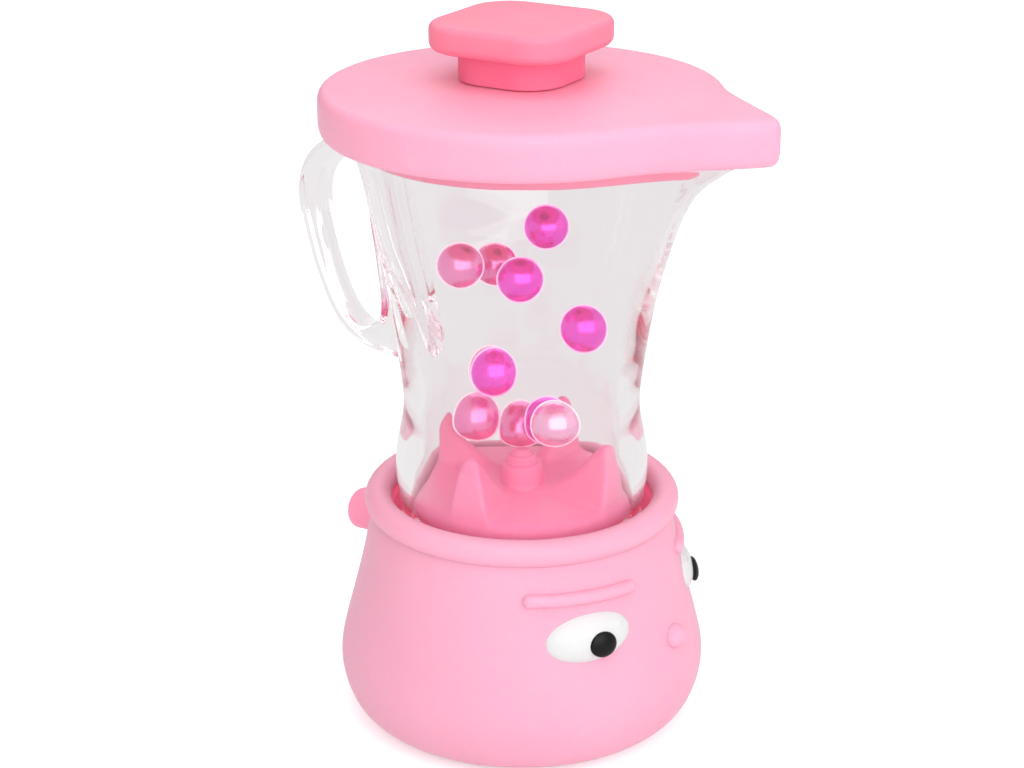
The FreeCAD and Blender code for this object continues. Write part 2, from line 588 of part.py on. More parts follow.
# ---------------------------------------------------------------------------
# impeller
# ---------------------------------------------------------------------------
dish = turned([
    Part.LineSegment(V(0, 0, 72.4), V(27.5, 0, 72.4)).toShape(),
    spline([V(27.5, 0, 72.4), V(31.5, 0, 73.4), V(34.3, 0, 75.6), V(35.7, 0, 78.2), V(36.0, 0, 80.4),
            V(35.6, 0, 82.2), V(34.6, 0, 83.4)]).toShape(),
    Part.LineSegment(V(34.6, 0, 83.4), V(33.8, 0, 84.4)).toShape(),
    Part.LineSegment(V(33.8, 0, 84.4), V(0, 0, 84.4)).toShape(),
    Part.LineSegment(V(0, 0, 84.4), V(0, 0, 72.4)).toShape()])
FIN = [(84.0, 8.5, 34.2, 2.6, 7.6), (88.0, 16.0, 34.1, 2.6, 6.6), (92.0, 21.0, 33.9, 2.6, 5.6),
       (96.5, 25.0, 33.7, 2.5, 4.6), (100.5, 28.0, 33.5, 2.3, 3.7), (103.2, 30.0, 33.1, 1.9, 2.7),
       (104.7, 31.0, 32.5, 1.0, 1.3)]


def fin():
    wires = []
    for z, r0, r1, h0, h1 in FIN:
        vs = [V(r0, -h0, z), V(r1, -h1, z), V(r1, h1, z), V(r0, h0, z)]
        wires.append(Part.makePolygon(vs + [vs[0]]))
    return Part.makeLoft(wires, True, False)


imp = dish
for k in range(FINS):
    f = fin()
    f.rotate(V(0, 0, 0), V(0, 0, 1), 90 * k)
    imp = imp.fuse(f)
imp = imp.cut(cyl(SHAFT_R, 60, 100))
save("impeller", imp)
cap = cyl(7.4, 84.4, 90.3).fuse(cyl(5.0, 90, 93.6)).fuse(cyl(3.1, 93, 96.6))
for r, z in ((7.4, 90.3), (5.0, 93.6), (3.1, 96.6)):
    try:
        ed = [e for e in cap.Edges if abs(e.BoundBox.ZMin - z) < 1e-4 and abs(e.BoundBox.ZMax - z) < 1e-4
              and abs(e.BoundBox.XMax - r) < 1e-3]
        cap = cap.makeFillet(0.7, ed)
    except Exception as err:
        print("cap fillet", err)
cap = cap.cut(cyl(SHAFT_R, 80, 90.0))
save("hub_cap", cap)
save("impeller_shaft", cyl(SHAFT_R, 66.7, 90.0))

# ---------------------------------------------------------------------------
# lid
# ---------------------------------------------------------------------------
# right flank of the lid's spout, from the round edge to the tip
FLANK = [(34.5, -57.5), (29.8, -61.3), (25.2, -65.9), (18.7, -73.2), (12.4, -80.6), (7.2, -86.6), (3.4, -90.4)]
TIP = (0.0, -91.9)


def lid_loop(inset=0.0):
    pts = [TIP] + [(x, y) for x, y in reversed(FLANK)]
    a = -52.0
    while a < 232.1:
        pts.append((LID_R * math.cos(math.radians(a)), LID_R * math.sin(math.radians(a))))
        a += 8.114286
    pts += [(-x, y) for x, y in FLANK]
    if not inset:
        return pts
    if inset > 3.5:
        # further in, the tip is blunt
        pts = [(0.0, TIP[1] + 1.6)] + pts[2:-1]
    return offset_loop(pts, inset)


def chord(pts):
    """Parameters by distance along a closed loop of points."""
    t = [0.0]
    for a, b in zip(pts, pts[1:] + pts[:1]):
        t.append(t[-1] + math.hypot(a[0] - b[0], a[1] - b[1]))
    return [k / t[-1] for k in t]


def closed_wire(pts, z, params):
    c = Part.BSplineCurve()
    c.interpolate(Points=[V(x, y, z) for x, y in pts], PeriodicFlag=True, Parameters=params)
    return Part.Wire([c.toShape()])


lid_params = chord(lid_loop())
lid = Part.makeLoft([closed_wire(lid_loop(i), z, lid_params) for z, i in LID_EDGE], True, False)
if lid.Volume < 0:
    lid.reverse()
crown = turned([
    Part.LineSegment(V(0, 0, LID_TOP - 1), V(62.5, 0, LID_TOP - 1)).toShape(),
    Part.LineSegment(V(62.5, 0, LID_TOP - 1), V(62.5, 0, LID_TOP)).toShape(),
    spline([V(r, 0, LID_TOP + LID_CROWN * (1 - (r / 62.5) ** 2)) for r in (62.5, 50, 37.5, 25, 12.5, 0)]).toShape(),
    Part.LineSegment(V(0, 0, LID_TOP + LID_CROWN), V(0, 0, LID_TOP - 1)).toShape()])
lid = lid.fuse(crown)
lid = lid.cut(smooth_prism(lid_loop(4.8), LID_LOW - 1, LID_TOP - 3.0))
lid = lid.fuse(tube(19.2, 17.3, 206.4, LID_TOP))
lid = lid.cut(cyl(17.3, 200, 240))
save("lid_shell", lid)
plug_loop = []
for x, y in jar_loop(PLUG_LOW, wall(PLUG_LOW) + PLUG_GAP):
    # the stopper's lobe stops short of the spout's tip
    plug_loop.append((x, max(y, -65.5 + 0.02 * (x * x))))
plug = smooth_prism(plug_loop, PLUG_LOW, LID_LOW + 1.8)
plug = plug.fuse(smooth_prism(lid_loop(4.9), LID_LOW, LID_LOW + 1.8))
plug = plug.cut(smooth_prism(offset_loop(plug_loop, 2.2), PLUG_LOW + 2.2, LID_LOW + 3))
plug = plug.cut(cyl(17.3, 200, 240))
save("lid_plug", plug)

knob = rounded_square(KNOB_HALF, KNOB_CORNER, KNOB_LOW, KNOB_TOP)
knob = knob.makeFillet(3.1, [e for e in knob.Edges if e.BoundBox.ZLength < 1e-3])
knob = knob.cut(cyl(14.5, KNOB_LOW - 1, KNOB_TOP - 3.0))
save("cap_knob", knob)
neck = rounded_square(NECK_HALF, NECK_CORNER, NECK_LOW, KNOB_LOW)
neck = neck.fuse(cyl(17.0, 208.0, NECK_LOW + 0.5)).cut(cyl(14.5, 200, 236.0))
save("cap_neck", neck)

# ---------------------------------------------------------------------------
# pearls
# ---------------------------------------------------------------------------
for k, (x, y, z) in enumerate(PEARLS):
    save("pearl_%02d" % (k + 1), Part.makeSphere(PEARL_R, V(x, y, z)))
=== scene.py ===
import bpy, bmesh, math
import numpy as np
from mathutils import Vector, Matrix


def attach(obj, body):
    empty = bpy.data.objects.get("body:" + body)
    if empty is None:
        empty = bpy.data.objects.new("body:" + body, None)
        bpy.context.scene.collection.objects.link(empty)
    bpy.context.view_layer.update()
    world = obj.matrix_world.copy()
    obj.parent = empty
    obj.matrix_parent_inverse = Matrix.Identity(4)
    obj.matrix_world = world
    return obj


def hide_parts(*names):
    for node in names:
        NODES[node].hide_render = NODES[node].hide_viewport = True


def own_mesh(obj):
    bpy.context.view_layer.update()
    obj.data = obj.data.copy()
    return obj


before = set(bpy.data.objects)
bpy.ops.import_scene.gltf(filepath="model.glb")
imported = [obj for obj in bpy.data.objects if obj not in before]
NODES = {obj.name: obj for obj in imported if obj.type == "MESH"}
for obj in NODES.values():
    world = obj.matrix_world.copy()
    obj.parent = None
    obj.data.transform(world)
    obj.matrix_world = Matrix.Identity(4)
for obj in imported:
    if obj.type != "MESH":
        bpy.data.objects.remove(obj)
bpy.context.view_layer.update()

MM = 0.001
scene = bpy.context.scene


# ---------------------------------------------------------------------------
# small geometry helpers; everything below is in millimetres until new_object
# ---------------------------------------------------------------------------
def tidy(ob, sharp=38.0):
    me = ob.data
    bm = bmesh.new()
    bm.from_mesh(me)
    bmesh.ops.remove_doubles(bm, verts=bm.verts, dist=2e-6)
    bmesh.ops.dissolve_degenerate(bm, edges=bm.edges, dist=1e-6)
    bmesh.ops.recalc_face_normals(bm, faces=bm.faces)
    lim = math.radians(sharp)
    for f in bm.faces:
        f.smooth = True
    for e in bm.edges:
        e.smooth = not (len(e.link_faces) == 2 and e.calc_face_angle(0.0) > lim)
    bm.to_mesh(me)
    bm.free()
    me.update()
    return ob


def new_object(name, verts, faces, sharp=38.0):
    me = bpy.data.meshes.new(name)
    me.from_pydata([(float(x) * MM, float(y) * MM, float(z) * MM) for x, y, z in verts], [],
                   [tuple(int(i) for i in f) for f in faces])
    ob = bpy.data.objects.new(name, me)
    scene.collection.objects.link(ob)
    return tidy(ob, sharp)


def rings(loops, closed, cap_first=None, cap_last=None):
    """Quads between loops of equal length; a cap is a point that closes an end."""
    n, m = len(loops[0]), len(loops)
    verts = [tuple(p) for l in loops for p in l]
    faces = []
    for j in range(m if closed else m - 1):
        a, b = j * n, ((j + 1) % m) * n
        for i in range(n):
            k = (i + 1) % n
            faces.append((a + i, a + k, b + k, b + i))
    for cap, base in ((cap_first, 0), (cap_last, (m - 1) * n)):
        if cap is not None:
            verts.append(tuple(cap))
            c = len(verts) - 1
            for i in range(n):
                faces.append((base + i, base + (i + 1) % n, c))
    return verts, faces


def lathe(name, prof, n=256, sharp=38.0):
    """prof: (r, z). Ends with r == 0 are poles, else the profile closes on itself."""
    pole = abs(prof[0][0]) < 1e-9
    body = prof[1:-1] if pole else prof
    loops = []
    for r, z in body:
        loops.append([(r * math.cos(2 * math.pi * i / n), r * math.sin(2 * math.pi * i / n), z) for i in range(n)])
    if pole:
        v, f = rings(loops, False, (0, 0, prof[0][1]), (0, 0, prof[-1][1]))
    else:
        v, f = rings(loops, True)
    return new_object(name, v, f, sharp)


def arc_corners(pts, closed=True, seg=7):
    """pts: (x, y) or (x, y, radius); every corner with a radius becomes an arc."""
    out = []
    n = len(pts)
    for i, p in enumerate(pts):
        r = p[2] if len(p) > 2 else 0.0
        if r <= 0 or (not closed and i in (0, n - 1)):
            out.append((p[0], p[1]))
            continue
        a, b = pts[i - 1], pts[(i + 1) % n]
        ua = np.array([a[0] - p[0], a[1] - p[1]], float)
        ub = np.array([b[0] - p[0], b[1] - p[1]], float)
        la, lb = np.linalg.norm(ua), np.linalg.norm(ub)
        ua /= la
        ub /= lb
        half = math.acos(max(-1.0, min(1.0, float(ua @ ub)))) / 2
        if half < 1e-3 or half > math.pi / 2 - 1e-3:
            out.append((p[0], p[1]))
            continue
        t = min(r / math.tan(half), 0.49 * la, 0.49 * lb)
        r = t * math.tan(half)
        bis = ua + ub
        bis /= np.linalg.norm(bis)
        c = np.array(p[:2], float) + bis * (r / math.sin(half))
        s, e = np.array(p[:2]) + ua * t - c, np.array(p[:2]) + ub * t - c
        a0, a1 = math.atan2(s[1], s[0]), math.atan2(e[1], e[0])
        d = (a1 - a0 + math.pi) % (2 * math.pi) - math.pi
        for k in range(seg + 1):
            q = a0 + d * k / seg
            out.append((c[0] + r * math.cos(q), c[1] + r * math.sin(q)))
    return out


def spline_through(pts, n, periodic=False):
    """Natural or periodic cubic spline by chord length, n points on it."""
    p = np.array(pts, float)
    if periodic:
        p = np.vstack([p, p[:1]])
    t = np.concatenate([[0], np.cumsum(np.linalg.norm(np.diff(p, axis=0), axis=1))])
    m = len(p)
    h = np.diff(t)
    if periodic:
        k = m - 1
        A = np.zeros((k, k))
        B = np.zeros((k, p.shape[1]))
        for i in range(k):
            h0, h1 = h[i - 1], h[i]
            A[i, (i - 1) % k] += h0
            A[i, i] += 2 * (h0 + h1)
            A[i, (i + 1) % k] += h1
            B[i] = 6 * ((p[i + 1] - p[i]) / h1 - (p[i] - p[i - 1 if i else k - 1]) / h0)
        M = np.linalg.solve(A, B)
        M = np.vstack([M, M[:1]])
    else:
        A = np.zeros((m, m))
        B = np.zeros((m, p.shape[1]))
        A[0, 0] = A[-1, -1] = 1
        for i in range(1, m - 1):
            A[i, i - 1], A[i, i], A[i, i + 1] = h[i - 1], 2 * (h[i - 1] + h[i]), h[i]
            B[i] = 6 * ((p[i + 1] - p[i]) / h[i] - (p[i] - p[i - 1]) / h[i - 1])
        M = np.linalg.solve(A, B)
    q = np.linspace(0, t[-1], n + 1)[:-1] if periodic else np.linspace(0, t[-1], n)
    i = np.clip(np.searchsorted(t, q, side="right") - 1, 0, len(h) - 1)
    a = (t[i + 1] - q)[:, None]
    b = (q - t[i])[:, None]
    hh = h[i][:, None]
    return (M[i] * a ** 3 + M[i + 1] * b ** 3) / (6 * hh) + (p[i] / hh - M[i] * hh / 6) * a + (p[i + 1] / hh - M[i + 1] * hh / 6) * b


def table(rows, z):
    return float(np.interp(z, [r[0] for r in rows], [r[1] for r in rows]))


def smooth_table(rows, z):
    xs = [r[0] for r in rows]
    ys = [r[1] for r in rows]
    n = len(xs)
    if z <= xs[0]:
        return ys[0]
    if z >= xs[-1]:
        return ys[-1]
    d = [(ys[i + 1] - ys[i]) / (xs[i + 1] - xs[i]) for i in range(n - 1)]
    m = [d[0]] + [0.0 if d[i - 1] * d[i] <= 0 else 2 * d[i - 1] * d[i] / (d[i - 1] + d[i])
                  for i in range(1, n - 1)] + [d[-1]]
    for i in range(n - 1):
        if z <= xs[i + 1]:
            h = xs[i + 1] - xs[i]
            t = (z - xs[i]) / h
            return ((1 + 2 * t) * (1 - t) ** 2 * ys[i] + t * (1 - t) ** 2 * h * m[i]
                    + t * t * (3 - 2 * t) * ys[i + 1] + t * t * (t - 1) * h * m[i + 1])


def offset_loop(pts, d):
    """A counter-clockwise loop moved inwards by d along its normals."""
    p = np.array(pts, float)
    t = np.roll(p, -1, axis=0) - np.roll(p, 1, axis=0)
    t /= np.linalg.norm(t, axis=1)[:, None]
    return p + d * np.stack([-t[:, 1], t[:, 0]], axis=1)


def boolean(ob, cutter, mode):
    mod = ob.modifiers.new("b", "BOOLEAN")
    mod.operation = mode
    mod.solver = "MANIFOLD"
    mod.object = cutter
    bpy.context.view_layer.update()
    dg = bpy.context.evaluated_depsgraph_get()
    me = bpy.data.meshes.new_from_object(ob.evaluated_get(dg))
    ob.modifiers.clear()
    ob.data = me
    bpy.data.objects.remove(cutter)
    return ob


def join(name, obs):
    """One object from several meshes."""
    bm = bmesh.new()
    for o in obs:
        bm.from_mesh(o.data)
    me = bpy.data.meshes.new(name)
    bm.to_mesh(me)
    bm.free()
    for o in obs:
        bpy.data.objects.remove(o)
    ob = bpy.data.objects.new(name, me)
    scene.collection.objects.link(ob)
    return ob


# ---------------------------------------------------------------------------
# materials
# ---------------------------------------------------------------------------
def rgb(r, g, b):
    out = []
    for c in (r, g, b):
        c = c / 255.0
        out.append(c / 12.92 if c <= 0.04045 else ((c + 0.055) / 1.055) ** 2.4)
    return (out[0], out[1], out[2], 1.0)


class Mat:
    def __init__(self, name):
        self.m = bpy.data.materials.new(name)
        self.m.use_nodes = True
        self.nt = self.m.node_tree
        self.nt.nodes.clear()
        self.out = self.add("ShaderNodeOutputMaterial")
        self.b = self.add("ShaderNodeBsdfPrincipled")
        self.link(self.b.outputs[0], self.out.inputs[0])
        self.co = self.add("ShaderNodeTexCoord").outputs["Object"]

    def add(self, kind, **props):
        n = self.nt.nodes.new(kind)
        for k, v in props.items():
            setattr(n, k, v)
        return n

    def link(self, a, b):
        self.nt.links.new(a, b)

    def set(self, **values):
        for k, v in values.items():
            self.b.inputs[k.replace("_", " ")].default_value = v

    def stretched(self, x, y, z):
        n = self.add("ShaderNodeMapping")
        n.inputs["Scale"].default_value = (x, y, z)
        self.link(self.co, n.inputs["Vector"])
        return n.outputs[0]

    def noise(self, scale, detail=3.0, rough=0.5, vector=None, distortion=0.0):
        n = self.add("ShaderNodeTexNoise")
        n.inputs["Scale"].default_value = scale
        n.inputs["Detail"].default_value = detail
        n.inputs["Roughness"].default_value = rough
        n.inputs["Distortion"].default_value = distortion
        self.link(vector if vector is not None else self.co, n.inputs["Vector"])
        return n.outputs["Fac"]

    def ramp(self, fac, stops, mode="LINEAR"):
        n = self.add("ShaderNodeValToRGB")
        n.color_ramp.interpolation = mode
        el = n.color_ramp.elements
        while len(el) < len(stops):
            el.new(0.5)
        for e, (p, c) in zip(el, stops):
            e.position, e.color = p, c
        self.link(fac, n.inputs[0])
        return n.outputs[0]

    def spread(self, fac, lo, hi, a=0.3, b=0.7):
        n = self.add("ShaderNodeMapRange")
        n.inputs[1].default_value, n.inputs[2].default_value = a, b
        n.inputs[3].default_value, n.inputs[4].default_value = lo, hi
        self.link(fac, n.inputs[0])
        return n.outputs[0]

    def mix(self, fac, a, b, blend="MIX"):
        n = self.add("ShaderNodeMix", data_type="RGBA", blend_type=blend)
        for s, v in ((n.inputs[0], fac), (n.inputs[6], a), (n.inputs[7], b)):
            if hasattr(v, "is_output"):
                self.link(v, s)
            else:
                s.default_value = v
        return n.outputs[2]

    def bump(self, heights):
        """heights: (value, strength, distance in metres), stacked."""
        prev = None
        for h, strength, dist in heights:
            n = self.add("ShaderNodeBump")
            n.inputs["Strength"].default_value = strength
            n.inputs["Distance"].default_value = dist
            self.link(h, n.inputs["Height"])
            if prev is not None:
                self.link(prev, n.inputs["Normal"])
            prev = n.outputs[0]
        self.link(prev, self.b.inputs["Normal"])


def shade(c, k):
    return (min(c[0] * k, 1), min(c[1] * k, 1), min(c[2] * k, 1), 1.0)


def soft_plastic(name, c, deep=None, rough=0.42, sss=0.4, scale=0.006, grain=0.05, coat=0.0, spec=0.4, painted_glow=0.0):
    """Satin moulded plastic: faint flow mottling, fine mould texture, and where asked, painted light as an emission."""
    m = Mat(name)
    deep = deep or shade(c, 0.94)
    big = m.noise(16.0, 2.0, 0.5, distortion=0.4)
    tone = m.ramp(big, [(0.3, deep), (0.7, c)])
    fine = m.noise(900.0, 2.0, 0.6)
    speck = m.ramp(fine, [(0.3, (0.975, 0.97, 0.972, 1)), (0.7, (1, 1, 1, 1))])
    m.link(m.mix(1.0, tone, speck, "MULTIPLY"), m.b.inputs["Base Color"])
    m.link(m.spread(m.noise(70.0, 3.0, 0.6), rough - 0.05, rough + 0.06), m.b.inputs["Roughness"])
    m.bump([(m.noise(45.0, 2.0, 0.5), 0.10, 0.00015), (m.noise(2600.0, 2.0, 0.6), grain, 0.00006)])
    m.set(Subsurface_Weight=sss, Subsurface_Scale=scale, Subsurface_Radius=(1.0, 0.22, 0.28),
          Specular_IOR_Level=spec, Coat_Weight=coat, Coat_Roughness=0.35, IOR=1.46)
    if painted_glow:                                          # painted light: emission that brightens the part as if lit, though it is no lamp
        m.set(Emission_Color=(1.0, c[1] * 0.55, c[2] * 0.75, 1.0), Emission_Strength=painted_glow)
    return m.m


def pearl(name, c, rim, deep, rough=0.24):
    """Pearl lacquer: metallic colour with a painted pale sheen along its outline, chosen by facing angle, and painted
    light as emission, faint on the body and stronger at the outline.
    """
    m = Mat(name)
    rim_sheen_weight = m.add("ShaderNodeLayerWeight")
    rim_sheen_weight.inputs["Blend"].default_value = 0.5
    swirl = m.noise(90.0, 2.0, 0.5, distortion=0.6)
    body = m.ramp(swirl, [(0.30, deep), (0.62, c)])
    # painted sheen: the base colour turns pale towards the outline, by facing angle
    edge = m.ramp(rim_sheen_weight.outputs["Facing"], [(0.55, (0, 0, 0, 1)), (0.76, (1, 1, 1, 1))], "EASE")
    m.link(m.mix(edge, body, rim), m.b.inputs["Base Color"])
    m.link(m.spread(m.noise(420.0, 2.0, 0.5), rough - 0.02, rough + 0.04), m.b.inputs["Roughness"])
    m.link(m.spread(edge, 0.82, 0.3, 0.0, 1.0), m.b.inputs["Metallic"])
    # painted light: emission, faint on the body and stronger along the outline
    m.link(m.spread(edge, 0.10, 0.42, 0.0, 1.0), m.b.inputs["Emission Strength"])
    m.link(m.mix(edge, body, rim), m.b.inputs["Emission Color"])
    m.bump([(m.noise(240.0, 2.0, 0.5), 0.03, 0.00003)])
    m.set(Coat_Weight=0.2, Coat_Roughness=0.12, Coat_IOR=1.5, Specular_IOR_Level=0.5)
    return m.m


def clear(name, c, rough=0.015):
    """Clear moulded plastic: faint tint, faint flow lines, hardly any roughness."""
    m = Mat(name)
    flow = m.noise(9.0, 2.0, 0.5, m.stretched(1.0, 1.0, 0.35), 0.6)
    m.link(m.ramp(flow, [(0.3, shade(c, 0.985)), (0.7, c)]), m.b.inputs["Base Color"])
    m.link(m.spread(m.noise(60.0, 3.0, 0.6), rough * 0.4, rough * 1.8), m.b.inputs["Roughness"])
    m.bump([(m.noise(22.0, 1.0, 0.4, m.stretched(1.0, 1.0, 0.4)), 0.05, 0.0003)])
    m.set(Transmission_Weight=1.0, IOR=1.45, Specular_IOR_Level=0.5)
    return m.m


def metal(name, c, rough=0.3, along=(1.0, 1.0, 0.04), dark=0.75, grain=0.12):
    """Drawn or turned metal: grain lines, cloudy polish, dulled patches."""
    m = Mat(name)
    lines = m.noise(1800.0, 2.0, 0.6, m.stretched(*along))
    cloud = m.noise(180.0, 3.0, 0.6)
    tone = m.mix(cloud, shade(c, dark), c)
    m.link(m.mix(0.35, tone, m.ramp(lines, [(0.3, shade(c, dark)), (0.7, c)])), m.b.inputs["Base Color"])
    m.link(m.spread(lines, rough - 0.08, rough + 0.12), m.b.inputs["Roughness"])
    m.bump([(lines, grain, 0.00004)])
    m.set(Metallic=1.0)
    return m.m


def hard_plastic(name, c, rough=0.5, grain=0.2, scale=1500.0):
    """Inner moulding: spark-eroded texture with a little dust tone."""
    m = Mat(name)
    tone = m.ramp(m.noise(40.0, 3.0, 0.6), [(0.3, shade(c, 0.88)), (0.7, c)])
    m.link(tone, m.b.inputs["Base Color"])
    tex = m.noise(scale, 3.0, 0.65)
    m.link(m.spread(tex, rough - 0.08, rough + 0.1), m.b.inputs["Roughness"])
    m.bump([(tex, grain, 0.00006)])
    m.set(Specular_IOR_Level=0.4)
    return m.m


def cell_jacket(name):
    """Plain battery jacket: a dark body and one plain coppery band at one end."""
    m = Mat(name)
    sep = m.add("ShaderNodeSeparateXYZ")
    m.link(m.co, sep.inputs[0])
    # the two cells lie head to tail: the band sits at +X on one and -X on the other
    side = m.add("ShaderNodeMath", operation="SIGN")
    m.link(sep.outputs["Y"], side.inputs[0])
    flip = m.add("ShaderNodeMath", operation="MULTIPLY")
    m.link(sep.outputs["X"], flip.inputs[0])
    m.link(side.outputs[0], flip.inputs[1])
    pos = m.spread(flip.outputs[0], 0.0, 1.0, -0.026, 0.026)
    band = m.ramp(pos, [(0.0, rgb(196, 200, 205)), (0.028, rgb(176, 112, 62)), (0.27, rgb(42, 44, 50)),
                        (0.975, rgb(190, 192, 196))], "CONSTANT")
    worn = m.noise(300.0, 3.0, 0.6)
    m.link(m.mix(0.25, band, m.ramp(worn, [(0.3, rgb(30, 30, 34)), (0.7, rgb(180, 170, 160))]), "SOFT_LIGHT"),
           m.b.inputs["Base Color"])
    m.link(m.spread(worn, 0.22, 0.36), m.b.inputs["Roughness"])
    m.bump([(m.noise(900.0), 0.08, 0.00005)])
    m.set(Metallic=0.6)
    return m.m


BODY = rgb(255, 176, 201)
M = {
    "body": soft_plastic("body_pink", BODY),
    "lid": soft_plastic("lid_pink", rgb(255, 173, 199)),
    # painted light: the plug, impeller, socket and button below are given emission to brighten them where they lie in
    # shade
    "plug": soft_plastic("plug_pink", rgb(255, 160, 186), painted_glow=0.2),
    "knob": soft_plastic("knob_pink", rgb(255, 140, 166)),
    "neck": soft_plastic("neck_pink", rgb(255, 131, 166), deep=rgb(255, 124, 159)),
    "impeller": soft_plastic("impeller_pink", rgb(255, 150, 186), painted_glow=0.13),
    "socket": soft_plastic("socket_pink", rgb(255, 140, 172), deep=rgb(252, 128, 162), sss=0.5, scale=0.008, painted_glow=0.22),
    "button": soft_plastic("button_pink", rgb(255, 162, 190), painted_glow=0.1),
    "cover": soft_plastic("cover_pink", rgb(250, 160, 186), rough=0.5, grain=0.16),
    "coupling": soft_plastic("coupling_pink", rgb(240, 130, 160), rough=0.45, sss=0.1),
    "white": soft_plastic("eye_white", rgb(228, 229, 229), deep=rgb(223, 224, 224), rough=0.3, sss=0.12,
                          scale=0.002, grain=0.03),
    "black": soft_plastic("pupil_black", rgb(10, 10, 11), deep=rgb(6, 6, 7), rough=0.34, sss=0.0, grain=0.03,
                          spec=0.3),
    "clear": clear("clear_plastic", (0.966, 0.945, 0.953, 1.0)),
    "gear_white": hard_plastic("gear_white", rgb(236, 234, 226), 0.4, 0.08),
    "inner": hard_plastic("inner_plastic", rgb(226, 190, 202), 0.5),
    "switch_black": hard_plastic("switch_black", rgb(34, 34, 38), 0.45),
    "rubber": hard_plastic("foot_rubber", rgb(214, 196, 202), 0.8, 0.35, 1100.0),
    "screw": metal("screw_steel", rgb(186, 188, 194), 0.3, (1, 1, 1), 0.7),
    "shaft": metal("shaft_steel", rgb(200, 202, 206), 0.22, (1.0, 1.0, 0.05)),
    "motor": metal("motor_steel", rgb(176, 178, 182), 0.36, (0.05, 1.0, 1.0)),
    "contact": metal("contact_metal", rgb(208, 206, 200), 0.28, (1, 1, 0.1)),
    "spring": metal("spring_steel", rgb(190, 192, 198), 0.24, (1, 0.2, 1)),
    "brass": metal("bush_brass", rgb(206, 168, 98), 0.3, (1, 1, 0.08), 0.7),
    "cell": cell_jacket("cell_jacket"),
    # the third colour of each pearl is its painted sheen and painted light along the outline
    "magenta": pearl("pearl_magenta", rgb(243, 84, 206), rgb(255, 196, 243), rgb(234, 70, 196)),
    "rose": pearl("pearl_rose", rgb(240, 136, 186), rgb(255, 214, 232), rgb(234, 122, 176)),
    "dusty": pearl("pearl_dusty", rgb(236, 142, 190), rgb(255, 214, 236), rgb(228, 128, 180)),
    "pale": pearl("pearl_pale", rgb(246, 184, 214), rgb(255, 230, 242), rgb(240, 172, 204)),
    "violet": pearl("pearl_violet", rgb(240, 88, 208), rgb(254, 196, 244), rgb(232, 76, 200)),
}

CARRIED = {
    "jar_socket": "socket", "bottom_cover": "cover", "cover_screws": "screw", "foot_ring": "rubber",
    "motor": "motor", "gear_plate": "inner", "plate_screws": "screw", "spindle_bushes": "brass",
    "battery_box": "inner", "batteries": "cell", "battery_contacts": "contact", "battery_door": "cover",
    "door_screw": "screw", "micro_switch": "switch_black", "switch_holder": "inner", "button_spring": "spring",
    "drive_spindle": "shaft", "spindle_gear": "gear_white", "drive_coupling": "coupling", "motor_shaft": "shaft",
    "motor_pinion": "brass", "shaft_bush": "coupling", "impeller_shaft": "shaft", "driven_coupling": "coupling",
}
for node, key in CARRIED.items():
    ob = NODES[node]
    ob.data.materials.clear()
    ob.data.materials.append(M[key])


def place(ob, key, body, slot, *nodes):
    ob.data.materials.clear()
    ob.data.materials.append(M[key])
    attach(ob, body)
    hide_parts(*nodes)
    return ob


# ---------------------------------------------------------------------------
# base shell and rim ring
# ---------------------------------------------------------------------------
POT = [(47.6, 0.8), (51.0, 1.0), (53.4, 1.5), (55.3, 2.2), (57.7, 3.8), (60.4, 7.0),
       (62.4, 11.4), (63.7, 16.5), (64.1, 21.6), (63.6, 26.5), (62.7, 30.6), (61.5, 35.4),
       (60.0, 41.0), (58.4, 47.1), (57.0, 52.7), (55.4, 59.3), (54.5, 63.6), (53.8, 67.5),
       (52.8, 71.5), (51.95, 75.3)]
pot_line = spline_through(POT, 190)
side = pot_line[pot_line[:, 1] > 2.0]


def pot_radius(z):
    return float(np.interp(z, side[:, 1], side[:, 0]))


t = np.gradient(pot_line, axis=0)
t /= np.linalg.norm(t, axis=1)[:, None]
inner_line = pot_line + 2.4 * np.stack([-t[:, 1], t[:, 0]], axis=1)
inner_line = inner_line[(inner_line[:, 1] > 3.3) & (inner_line[:, 1] < 69.6)][::3]
prof = [tuple(p) for p in pot_line] + [(49.5, 75.3), (49.5, 69.8)]
prof += [tuple(p) for p in inner_line[::-1]] + [(50.5, 3.2), (47.4, 3.2), (47.4, 0.8)]
shell = lathe("base_shell_visual", prof, 288)
# hole for the button
n = 96
loops = []
for r, y in ((7.75, 44.0), (7.75, 55.2), (7.75, 80.0)):
    loops.append([(r * math.cos(2 * math.pi * i / n), y, 59.0 + r * math.sin(2 * math.pi * i / n)) for i in range(n)])
v, f = rings(loops, False, (0, 44.0, 59.0), (0, 80.0, 59.0))
drill = new_object("drill", v, f)
boolean(shell, drill, "DIFFERENCE")
tidy(shell, 30)
place(shell, "body", "base", "body_pink", "base_shell")

a0 = math.asin((75.3 - 79.5) / 4.6)
ring = [(50.0 + 4.6 * math.cos(a), 79.5 + 4.6 * math.sin(a))
        for a in np.linspace(a0, math.pi - a0, 92)]
ring += [(x, 75.3) for x in np.linspace(ring[-1][0], ring[0][0], 8)[1:-1]]
rim = lathe("rim_collar_visual", ring, 320)
place(rim, "body", "base", "body_pink", "rim_collar")


